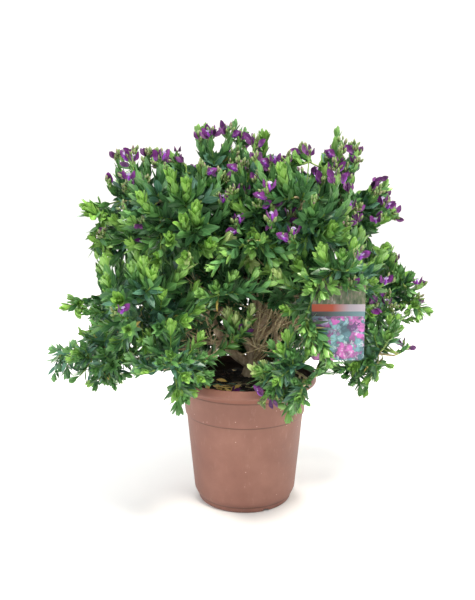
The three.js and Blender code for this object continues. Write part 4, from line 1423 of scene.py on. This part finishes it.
def fork_twig(pick, line, kind, way=None):
    """Lays a bare twig that forks from a line and swings off its way. Returns it if it is free."""
    forks, least_rise, swing, lengths, bend, thickness = kind
    fork = line[pick.randint(*forks)]
    if way is None:
        way = (line[-1] - fork).normalized()
    turn = loose_way(pick, least_rise, 1).normalized()
    tip = fork + (way + turn * swing).normalized() * pick.uniform(*lengths)
    side = arched(fork, tip, *bend) if bend else turned_up(fork, tip, FORK_LIFT)
    if not free(side, SHOOT_MARGIN):
        return None
    woody.take(side, tapered(side, *thickness))
    return side


# On the boughs: how far apart, from where on, how long, which are bare, and what turns their way.
BOUGH_TWIG_SPACING = 8
BOUGH_TWIGS_FROM = 0.25
BOUGH_TWIG_LENGTHS, BOUGH_TWIG_LIFT = (45, 85), 0.5
BARE_BELOW, BARE_BEFORE, OTHER_BARE_TWIGS = 285, 30, 0.2
ALONG_BOUGH, OFF_AXIS, TWIG_RISE, TWIG_LEAST_RISE = 0.5, 0.3, 0.35, -0.4


def clothe_boughs():
    """Short leafy shoots along the boughs inside the crown, and bare twigs lower down in front."""
    for index, (_, points, _) in enumerate(wood):
        pick = random.Random(BOUGH_SEED + index)
        length = sum((b - a).length for a, b in zip(points, points[1:]))
        for i in range(int(length / BOUGH_TWIG_SPACING)):
            start, along = place_on(points, BOUGH_TWIGS_FROM + (1 - BOUGH_TWIGS_FROM)
                                    * (i + pick.random()) * BOUGH_TWIG_SPACING / length)
            loose = loose_way(pick, TWIG_LEAST_RISE, 1)
            axis = Vector((start.x, start.y, 0)).normalized()
            way = (along * ALONG_BOUGH + axis * OFF_AXIS + loose + UP * TWIG_RISE).normalized()
            bare = (start.z < BARE_BELOW and start.y < BARE_BEFORE) or pick.random() < OTHER_BARE_TWIGS
            if bare and pick.random() < BARE_TWIGS_LEFT_OUT:
                continue
            line = turned_up(start, start + way * pick.uniform(*BOUGH_TWIG_LENGTHS), BOUGH_TWIG_LIFT)
            if not free(line[FOOT_POINTS:], TWIG_MARGIN):
                continue
            if bare:
                woody.take(line, tapered(line, *BARE_TWIG))
                for _ in range(pick.choice(FORK_COUNTS)):
                    fork_twig(pick, line, BOUGH_FORKS, way)
            else:
                woody.take(line, tapered(line, *LEAFY_TWIG))
                dress_shoot(Shoot(line, BOUGH_SHOOT_SEEDS + 100 * index + i, "shaded"))


# Out of the trunk and the limbs: where they start, how they rise and bend, and their tufts.
NET_PLACES, NET_BACK, NET_TOP = (0.12, 0.8), 50, 330
NET_RISE, NET_LENGTHS = (0.25, 1.1), (60, 125)
NET_ACROSS, NET_BEND = (0.45, 0.6), (0.3, 0.55)
TUFTS_ON_TWIGS, TUFTS_ON_FORKS = 0.45, 0.5
TUFT_LENGTH, TUFT_SCALE, TUFT_DRESSES = 34, 0.8, ("dusky", "plain", "shaded")
TRUNK_TWIGS_FROM = 24


def net_of_twigs():
    """Thin tan twigs that fan out of the trunk and the lower limbs, some with a tuft of small leaves."""
    pick = random.Random(NET_SEED)
    carriers = [points for name, points, _ in wood if name.startswith(("limb", "bough_skirt"))]
    carriers.append(trunk_points[TRUNK_TWIGS_FROM:])
    for i in range(TWIG_COUNT):
        start = place_on(pick.choice(carriers), pick.uniform(*NET_PLACES))[0]
        if start.y > NET_BACK or start.z > NET_TOP:
            continue
        out = way_out(pick.uniform(180, 360))
        way = (out + UP * pick.uniform(*NET_RISE)).normalized()
        tip = start + way * pick.uniform(*NET_LENGTHS)
        line = arched(start, tip, pick.uniform(*NET_ACROSS), pick.uniform(*NET_BEND))
        if not free(line[FOOT_POINTS:], TWIG_MARGIN):
            continue
        woody.take(line, tapered(line, *NET_TWIG))
        tufts = [(line, TUFTS_ON_TWIGS)]
        for _ in range(pick.choice(FORK_COUNTS)):
            side = fork_twig(pick, line, NET_FORKS, way)
            if side:
                tufts.append((side, TUFTS_ON_FORKS))
        for k, (twig, chance) in enumerate(tufts):
            if pick.random() < chance:
                tuft = Shoot(twig, TUFT_SEEDS + 10 * i + k, pick.choice(TUFT_DRESSES))
                tuft.leafy, tuft.scale = TUFT_LENGTH, TUFT_SCALE
                dress_shoot(tuft)


# From the trunk's foot: where stems start, where they are seen to end from the first to the last
# and how far they stray from that, how deep their ends lie, and how they bend.
FAN_PLACES, FAN_DEPTHS = (0.15, 0.6), (-110, -20)
FAN_X, FAN_HEIGHTS, FAN_STRAY = (24, 120), (318, -44), 24
FAN_ACROSS, FAN_BEND = (0.35, 0.6), (0.35, 0.7)


def fan_of_stems():
    """Long bare stems that leave the trunk's foot and spread to the right in front."""
    pick = random.Random(FAN_SEED)
    for i in range(STEM_COUNT):
        share = (i + pick.random()) / STEM_COUNT
        start = place_on(trunk_points, pick.uniform(*FAN_PLACES))[0]
        height = graded(FAN_HEIGHTS, share) + stray(pick, FAN_STRAY)
        goal = on_sight(graded(FAN_X, share), height, pick.uniform(*FAN_DEPTHS))
        line = arched(start, goal, pick.uniform(*FAN_ACROSS), pick.uniform(*FAN_BEND))
        if free(line[FOOT_POINTS:7], SHOOT_MARGIN):
            woody.take(line, tapered(line, *FAN_STEM))
            for _ in range(FAN_FORK_COUNT):
                fork_twig(pick, line, FAN_FORKS)


shoots = []
for number, mass in enumerate(masses):
    shoots += grow_mass(mass, number + 1)
set_front([shoot for shoot in shoots if shoot.line[-1].y < FRONT_TO])
for shoot in shoots + grow_sprays():
    lay_shoot(shoot)
clothe_boughs()
net_of_twigs()
fan_of_stems()


# The pot

POT_SIDES = 120
POT_ROUNDING = 2.6
SHARP_ANGLE = math.radians(40)


def pot_inner_radius(height):
    share = (height - SHOULDER_HEIGHT) / (POT_HEIGHT - LIP_DROP - SHOULDER_HEIGHT)
    return BODY_FOOT_RADIUS - POT_WALL + share * (BAND_TOP_RADIUS - BODY_FOOT_RADIUS)


def mark_inside(mesh):
    """Marks the wall that faces into the pot, which is darkened just above the compost by soil stain and
    painted shade.
    """
    inside = mesh.attributes.new("inside", "FLOAT", "POINT")
    for corner, mark in zip(mesh.vertices, inside.data):
        axis_out = Vector((corner.co.x, corner.co.y, 0)).normalized()
        mark.value = from_0_to_1(-2 * corner.normal.dot(axis_out))


def notch_cutter(azimuth):
    """A flattened rod across the pot's foot, which leaves a drain notch."""
    work = bmesh.new()
    bmesh.ops.create_cone(work, segments=DRAIN_SIDES, radius1=DRAIN_RADIUS * MM, radius2=DRAIN_RADIUS * MM,
                          depth=2 * DRAIN_DEPTH * MM, cap_ends=True)
    work.transform(Matrix.Rotation(math.radians(azimuth), 4, "Z")
                   @ Matrix.Translation((FOOT_RADIUS * MM, 0, 0))
                   @ Matrix.Diagonal((1, 1, DRAIN_FLATTENING, 1)) @ Matrix.Rotation(math.pi / 2, 4, "Y"))
    mesh = bpy.data.meshes.new("notch")
    work.to_mesh(mesh)
    work.free()
    return shown("notch", mesh)


def make_pot():
    """The shell, turned from its profile up the outside and down the inside, with its drain notches cut."""
    lip_foot = POT_HEIGHT - LIP_DROP
    lip_middle = POT_HEIGHT - LIP_DROP / 2
    outside = eased([
        (0, 0), (FOOT_RADIUS, 0), (FOOT_TOP_RADIUS - FOOT_STEP, FOOT_HEIGHT),
        (FOOT_TOP_RADIUS, FOOT_HEIGHT + STEP_RISE), (BODY_FOOT_RADIUS, SHOULDER_HEIGHT),
        (BAND_FOOT_RADIUS - SEAM_STEP, SEAM_HEIGHT), (BAND_FOOT_RADIUS, SEAM_HEIGHT + STEP_RISE),
        (BAND_TOP_RADIUS, lip_foot), (RIM_RADIUS, lip_middle), (RIM_TOP_RADIUS, POT_HEIGHT),
        (RIM_TOP_RADIUS - POT_WALL, POT_HEIGHT), (RIM_RADIUS - POT_WALL, lip_middle),
        (pot_inner_radius(lip_foot), lip_foot), (pot_inner_radius(SHOULDER_HEIGHT), SHOULDER_HEIGHT),
        (FOOT_TOP_RADIUS - POT_WALL, FOOT_HEIGHT), (0, FOOT_HEIGHT)], POT_ROUNDING)
    turned = shown("pot_shell", lathe("pot_shell", outside, POT_SIDES), pot_plastic)
    cutters = [notch_cutter(azimuth) for azimuth in DRAIN_AZIMUTHS]
    for cutter in cutters:
        cut = turned.modifiers.new("notch", "BOOLEAN")
        cut.object, cut.solver = cutter, "EXACT"
    graph = bpy.context.evaluated_depsgraph_get()
    done = bpy.data.meshes.new_from_object(turned.evaluated_get(graph), depsgraph=graph)
    for piece in cutters + [turned]:
        bpy.data.objects.remove(piece)
    piece = shown("pot_shell", done, pot_plastic)
    piece.data.set_sharp_from_angle(angle=SHARP_ANGLE)
    mark_inside(piece.data)
    return piece


pot = make_pot()


# The compost

SOIL_RINGS, SOIL_SIDES = 34, 110
SOIL_LEVEL_TO, SOIL_FALL_OVER = 0.68, 0.32
SOIL_DEPTH = 12
SOIL_GAP = 0.3
# Its lumps and crumbs: how fine, the settings of the fractal noise and how high. Then how far the
# whole surface is sunk to stay level with them.
SOIL_LUMPS = ((0.055, (0.8, 2.1, 5), 2.4), (0.3, (1, 2, 3), 0.8))
SOIL_SUNK = 1.2


def make_compost():
    """The bed: level in the middle, lower at the wall, and crumbled on top."""
    edge = pot_inner_radius(SOIL_EDGE_HEIGHT) - SOIL_GAP
    profile = [(0, SOIL_HEIGHT)]
    for i in range(1, SOIL_RINGS + 1):
        share = i / SOIL_RINGS
        fall = (SOIL_HEIGHT - SOIL_EDGE_HEIGHT) * max(0, (share - SOIL_LEVEL_TO) / SOIL_FALL_OVER)
        profile.append((edge * share, SOIL_HEIGHT - fall))
    profile += [(edge - 1, SOIL_EDGE_HEIGHT - SOIL_DEPTH), (0, SOIL_EDGE_HEIGHT - SOIL_DEPTH)]

    def crumbled(point):
        if point.z < SOIL_EDGE_HEIGHT - SOIL_DEPTH / 2:
            return point
        lumps = sum(noise.fractal(point * fine, *settings) * high for fine, settings, high in SOIL_LUMPS)
        return point + UP * (lumps - SOIL_SUNK)

    return shown("compost_bed", lathe("compost_bed", profile, SOIL_SIDES, crumbled), compost_peat)


compost = make_compost()

SOUNDED_FROM = 400


def ground_at(x, y):
    """The compost's height under a place, sounded from above the pot."""
    hit, point, _, _ = compost.ray_cast(Vector((x, y, SOUNDED_FROM)) * MM, -UP)
    return point.z / MM if hit else SOIL_HEIGHT


def on_ground(x, y, above):
    return Vector((x, y, ground_at(x, y) + above))


def polar(radius, angle):
    return radius * math.cos(angle), radius * math.sin(angle)


def facing_up(pick, tilt):
    """A random way that faces up, tilted by up to about a share of it."""
    return (UP + Vector((stray(pick, tilt), stray(pick, tilt), 0))).normalized()


# What lies on the compost: counts, reaches from the pot's axis, sizes and how high it lies.
CHIP_COUNT, CHIP_REACH, CHIP_SIZES = 420, 88, (3, 11)
FALLEN_COUNT, FALLEN_IN_FRONT, FALLEN_SIZES = 34, 22, (15, 23)
FRONT_AZIMUTHS, FRONT_RADII, OTHER_RADII = (222, 274), (60, 84), (30, 86)
STRAW_COUNT, STRAW_RADII, STRAW_AZIMUTHS, STRAW_TURNS = 16, (20, 80), (190, 350), (-0.6, 0.4)
BLUE_LEAVES, BLUE_LEAF_SIZES = 0.4, (18, 26)
STRAW_STEPS, STRAW_THICKNESS, STRAW_REACH = (0, 15, 30), (0.7, 0.6, 0.4), 86
PETAL_PLACES, PETAL_SIZE, PETAL_WAY = ((78, -42), (-20, -70), (40, 62)), 13, (0.7, 0.5, 0.1)
CHIP_ABOVE, STRAW_ABOVE, LEAF_ABOVE = 0.4, 1.6, 3
CHIP_TILT, FALLEN_TILT, CHIP_RISE, FALLEN_RISE, BLUE_LEAF_RISE = 0.5, 0.4, 0.3, 0.12, 0.15


def scatter_litter():
    """Bark chips all over the compost, with fallen leaves, straws and a petal or two on top."""
    pick = random.Random(LITTER_SEED)
    chips, fallen, petals = Seats(), Seats(), Seats()
    for _ in range(CHIP_COUNT):
        x, y = polar(CHIP_REACH * math.sqrt(pick.random()), pick.uniform(0, 2 * math.pi))
        out = loose_way(pick, -CHIP_RISE, CHIP_RISE).normalized()
        face = facing_up(pick, CHIP_TILT)
        chips.take(on_ground(x, y, CHIP_ABOVE), out, face, pick.uniform(*CHIP_SIZES))
    for i in range(FALLEN_COUNT):
        front = i < FALLEN_IN_FRONT
        angle = math.radians(pick.uniform(*(FRONT_AZIMUTHS if front else (0, 360))))
        x, y = polar(pick.uniform(*(FRONT_RADII if front else OTHER_RADII)), angle)
        out = Vector((stray(pick, 1), stray(pick, 1), FALLEN_RISE)).normalized()
        face = facing_up(pick, FALLEN_TILT)
        fallen.take(on_ground(x, y, LEAF_ABOVE), out, face, pick.uniform(*FALLEN_SIZES))
    for _ in range(STRAW_COUNT):
        x, y = polar(pick.uniform(*STRAW_RADII), math.radians(pick.uniform(*STRAW_AZIMUTHS)))
        way = Vector((*polar(1, pick.uniform(*STRAW_TURNS)), 0))
        if pick.random() < BLUE_LEAVES:
            out = (way + UP * BLUE_LEAF_RISE).normalized()
            leaf_seats["blue", "old"].take(
                on_ground(x, y, LEAF_ABOVE), out, UP, pick.uniform(*BLUE_LEAF_SIZES))
            continue
        ends = [Vector((x, y, 0)) + way * step for step in STRAW_STEPS]
        if all(math.hypot(p.x, p.y) < STRAW_REACH for p in ends):
            woody.take([on_ground(p.x, p.y, STRAW_ABOVE) for p in ends], STRAW_THICKNESS)
    for x, y in PETAL_PLACES:
        petals.take(on_ground(x, y, LEAF_ABOVE), Vector(PETAL_WAY), UP, PETAL_SIZE)
    return chips, fallen, petals


chip_seats, fallen_seats, petal_seats = scatter_litter()


CHIP_OUTLINE = [(0, 0.1), (0.2, 0.26), (0.6, 0.3), (0.9, 0.16), (1, -0.05), (0.7, -0.26), (0.25, -0.24)]
CHIP_BEND, CHIP_BEND_ANGLE, CHIP_THICKNESS = 0.06, 3, 0.12


def chip_template():
    """A flake of bark: a bent slab with a worn outline."""
    corners = [(x - 0.5, y, CHIP_BEND * math.sin(CHIP_BEND_ANGLE * x)) for x, y in CHIP_OUTLINE]
    corners += [(x, y, z + CHIP_THICKNESS) for x, y, z in corners]
    n = len(CHIP_OUTLINE)
    faces = [tuple(reversed(range(n))), tuple(range(n, 2 * n))]
    faces += [(i, (i + 1) % n, n + (i + 1) % n, n + i) for i in range(n)]
    return shown("chip", outward(mesh_of("chip", corners, faces)), smooth=False)


chip = chip_template()


# The wood

TRUNK_SIDES, TRUNK_RELIEF = 36, 0.16
LIMB_SIDES, LIMB_RELIEF, FIRST_LIMB_SEED = 16, 0.12, 7
COLLAR_SWELL, COLLAR_FADE = 0.5, 22
# The bark's furrows and knobs: how fine they are across and along the wood, the furrows' slant and
# fractal noise, and how high the knobs are.
FURROW_ACROSS, FURROW_SLANT, FURROW_ALONG, FURROW_FRACTAL = 0.5, 0.1, 0.12, (0.9, 2.2, 4)
KNOB_FROM_SEED, KNOB_ALONG, KNOB_ACROSS, KNOB_RELIEF = 3.1, 0.16, 0.05, 0.12


def bark_limb(corners, faces, points, radius_at, sides, relief, seed):
    """A limb with furrowed bark and low knobs, closed at both ends."""
    rings = []
    side = square_to((points[1] - points[0]).normalized())[0]
    for i, point in enumerate(points):
        before, after = points[max(0, i - 1)], points[min(len(points) - 1, i + 1)]
        along = (after - before).normalized()
        side = (side - along * side.dot(along)).normalized()
        other = along.cross(side)
        radius = radius_at(i / (len(points) - 1))
        ring = []
        for k in range(sides):
            angle = 2 * math.pi * k / sides
            out = side * math.cos(angle) + other * math.sin(angle)
            at = out * radius
            furrow = noise.fractal(Vector((
                at.x * FURROW_ACROSS + seed, at.y * FURROW_ACROSS + at.z * FURROW_SLANT,
                i * FURROW_ALONG)), *FURROW_FRACTAL)
            knob = noise.noise(Vector((seed * KNOB_FROM_SEED, i * KNOB_ALONG, k * KNOB_ACROSS)))
            swell = radius * (1 + relief * furrow + KNOB_RELIEF * knob)
            ring.append(len(corners))
            corners.append(point + out * swell)
        rings.append(ring)
    for low, high in zip(rings, rings[1:]):
        faces += [(low[k], low[(k + 1) % sides], high[(k + 1) % sides], high[k]) for k in range(sides)]
    faces.append(tuple(reversed(rings[0])))
    faces.append(tuple(rings[-1]))


def make_wood():
    """The trunk with its root flare, and the limbs and boughs with a collar where each leaves its bearer."""
    corners, faces = [], []

    def trunk_radius(place):
        bole = TRUNK_RADIUS + (TRUNK_TOP_RADIUS - TRUNK_RADIUS) * place
        return bole + ROOT_FLARE * math.exp(-place * FLARE_FADE)

    bark_limb(corners, faces, trunk_points, trunk_radius, TRUNK_SIDES, TRUNK_RELIEF, 1)
    for index, (_, points, radius) in enumerate(wood):
        def limb_radius(place, radius=radius):
            collar = COLLAR_SWELL * radius * math.exp(-place * COLLAR_FADE)
            return radius + (TIP_RADIUS - radius) * place + collar
        fine = []
        for a, b in zip(points, points[1:]):
            fine += [a, a.lerp(b, 0.5)]
        fine.append(points[-1])
        bark_limb(corners, faces, fine, limb_radius, LIMB_SIDES, LIMB_RELIEF, FIRST_LIMB_SEED + index)
    return shown("bark_wood", outward(mesh_of("bark_wood", corners, faces)), shrub_bark)


bark_wood = make_wood()


# Filling the seats

LEAF_SIZE_SPREAD, LITTER_SIZE_SPREAD = 0.06, 0.1
TWIG_SIDES, SHOOT_SIDES = 5, 4

leaf_pieces = []
for number, ((skin, form), seats) in enumerate(leaf_seats.items()):
    if seats.points:
        leaf_pieces.append(seats.filled(
            f"leaves_{skin}_{form}", blades[form], leaf_skins[skin], LEAF_SIZE_SPREAD, number + 1))

twig_piece = woody.filled("woody_twigs", twig_bark, TWIG_SIDES)
shoot_piece = green.filled("green_shoots", green_shoot, SHOOT_SIDES)
flower_pieces = [
    flower_seats.filled("blossom_wings", wings, wing_petal),
    flower_seats.filled("blossom_keels", keel, keel_petal),
    flower_seats.filled("blossom_crests", crest, crest_fringe),
    young_seats.filled("blossom_half_open", young_wings, young_wing_petal),
    bud_seats.filled("blossom_buds", bud, bud_sepal),
    petal_seats.filled("fallen_petals", wings, wing_petal),
]
chip_piece = chip_seats.filled("compost_bark_chips", chip, bark_chip, LITTER_SIZE_SPREAD, 5)
fallen_piece = fallen_seats.filled("fallen_leaves", blades["old"], fallen_leaf, LITTER_SIZE_SPREAD, 6)
for template in (*blades.values(), wings, young_wings, keel, crest, bud, chip):
    bpy.data.objects.remove(template)


# The label

# The heights above the card's foot where one zone of the print passes into the next.
STRIP_FOOT, BAND_FOOT, BAND_TOP, PRINT_TOP = (57.5, 57.8), (63.8, 64.2), (73, 73.5), (101.5, 101.8)
PETAL_CELL, GLINT_SIZE, LEAF_STREAK = 11, 5, 6
BAND_FADE, STRIP_FADE = (-8, 14), (-14, 20)


def print_pattern(tree):
    """A nursery card's print: foliage at the top, a warm band, a grey strip, and petals on teal."""
    centre = (-label_middle * MM, 0, -label_low.z * MM)
    place = on_object(tree, (1, 1, 1), centre)
    parts = add(tree, "ShaderNodeSeparateXYZ", None, {"Vector": place})
    across, height = parts.outputs["X"], parts.outputs["Z"]

    def over(value, edge):
        low, high = edge
        return between(tree, value, low * MM, high * MM)

    # Petals: cells with wavy edges, each in a colour of its own, under pale glints.
    swirl = add(tree, "ShaderNodeTexNoise", None, {"Vector": place, "Scale": 110, "Detail": 3.0})
    bent = blended(tree, 0.012, place, swirl.outputs["Color"], "LINEAR_LIGHT")
    cells = add(tree, "ShaderNodeTexVoronoi", {"feature": "F1"}, {"Vector": bent, "Scale": 1000 / PETAL_CELL})
    picked = add(tree, "ShaderNodeSeparateColor", None, {"Color": cells.outputs["Color"]}).outputs["Red"]
    petals = ramp(tree, picked, [
        (0.16, "#4b717c"), (0.34, "#7fb4bc"), (0.5, "#a5449a"), (0.68, "#bd6cb0"), (0.92, "#5d3a6c")])
    shaded = blended(tree, between(tree, cells.outputs["Distance"], 0.3, 0.66, 0, 0.6), petals, "#2f3c48")
    glints = grain(tree, place, GLINT_SIZE, 5)
    field = blended(tree, between(tree, glints, 0.57, 0.7, 0, 0.7), shaded, "#c3cdd3")

    strip = blended(tree, over(across, STRIP_FADE), "#363a3a", "#59777e")
    band = blended(tree, over(across, BAND_FADE), "#993e22", "#968f99")
    leaves = ramp(tree, grain(tree, on_object(tree, (1, 1, 0.4), centre), LEAF_STREAK, 5),
                  [(0.34, "#26331f"), (0.48, "#4c5a40"), (0.58, "#6d665a"), (0.7, "#9a9d97")])
    colour = field
    for edge, zone in ((STRIP_FOOT, strip), (BAND_FOOT, band), (BAND_TOP, leaves), (PRINT_TOP, "#9c9b99")):
        colour = blended(tree, over(height, edge), colour, zone)
    return {"Base Color": colour}


# Printed polypropylene card under a gloss film.
label_print = finish(
    "printed_gloss_card", {"Roughness": 0.4, "IOR": 1.45, "Coat Weight": 0.08}, print_pattern)
label_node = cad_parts["label"]
label_node.data.materials.clear()
label_node.data.materials.append(label_print)


# Which piece stands for which node

def belongs(piece, slot, *nodes):
    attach(piece, "root")
    if nodes:
        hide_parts(*nodes)


belongs(pot, "pot", "pot")
belongs(compost, "compost", "compost")
belongs(chip_piece, "compost")
belongs(bark_wood, "bark", "trunk", *[name for name, _, _ in wood])
belongs(twig_piece, "bark")
belongs(shoot_piece, "foliage", *[mass.name for mass in masses])
for piece in leaf_pieces + [fallen_piece]:
    belongs(piece, "foliage")
for piece in flower_pieces:
    belongs(piece, "blossom")


# The studio

# Level for 2.6 m, and then up to the horizon: radius and height.
FLOOR_PROFILE = [(0, 0), (2600, 0), (3200, 60), (3700, 260), (4050, 640), (4200, 1200), (4250, 2200)]
FLOOR_ROUNDING, FLOOR_STEPS, FLOOR_SIDES = 300, 3, 64

# Each light, in metres: its place, how high it aims, its width, its power and its colour.
LIGHTS = {
    "key_right": ((0.5, -0.85, 2.3), 0.35, 0.8, 84, "#fff6ea"),
    "fill_left": ((-1.6, -1.3, 1.0), 0.3, 1.4, 11, "#eef4ff"),
    "rim_back": ((-0.4, 1.7, 1.8), 0.4, 1.2, 26, "#ffffff"),
}


AIR_COLOUR, AIR_STRENGTH = "#f4f6f8", 1.05


def make_floor():
    """A pale floor that sweeps up all round, far from the plant."""
    rows = eased(FLOOR_PROFILE, FLOOR_ROUNDING, FLOOR_STEPS)[1:]
    corners, faces, sides = [], [], FLOOR_SIDES
    for radius, height in rows:
        corners += [(*polar(radius * MM, 2 * math.pi * i / sides), height * MM) for i in range(sides)]
    for row in range(len(rows) - 1):
        for i in range(sides):
            j, a, b = (i + 1) % sides, row * sides, (row + 1) * sides
            faces.append((a + i, b + i, b + j, a + j))
    faces.append(tuple(range(sides)))
    mesh = bpy.data.meshes.new("studio_floor")
    mesh.from_pydata(corners, [], faces)
    shown("studio_floor", mesh, studio_floor)


def add_light(name, place, aim_height, width, power, colour):
    light = bpy.data.lights.new(name, "AREA")
    light.shape, light.size, light.energy = "DISK", width, power
    light.color = linear(colour)[:3]
    lamp = bpy.data.objects.new(name, light)
    lamp.location = place
    lamp.rotation_euler = (Vector((0, 0, aim_height)) - Vector(place)).to_track_quat("-Z", "Y").to_euler()
    scene.collection.objects.link(lamp)


make_floor()
for name, facts in LIGHTS.items():
    add_light(name, *facts)
world = bpy.data.worlds.new("studio_air")
world.use_nodes = True
air = world.node_tree.nodes["Background"].inputs
air["Color"].default_value = linear(AIR_COLOUR)
air["Strength"].default_value = AIR_STRENGTH
scene.world = world

# The photograph's view: 600 pixels high, its focal length and pitch found from the pot's rim and foot.
camera_data = bpy.data.cameras.new("camera")
camera_data.sensor_fit = "VERTICAL"
camera_data.sensor_height = SENSOR_HEIGHT
camera_data.lens = SENSOR_HEIGHT * FOCAL_PIXELS / PICTURE_PIXELS
camera = bpy.data.objects.new("camera", camera_data)
camera.location = [place * MM for place in CAMERA_PLACE]
camera.rotation_euler = Euler((math.radians(90 - CAMERA_PITCH), 0, 0))
scene.collection.objects.link(camera)
scene.camera = camera
scene.view_settings.view_transform = "Standard"
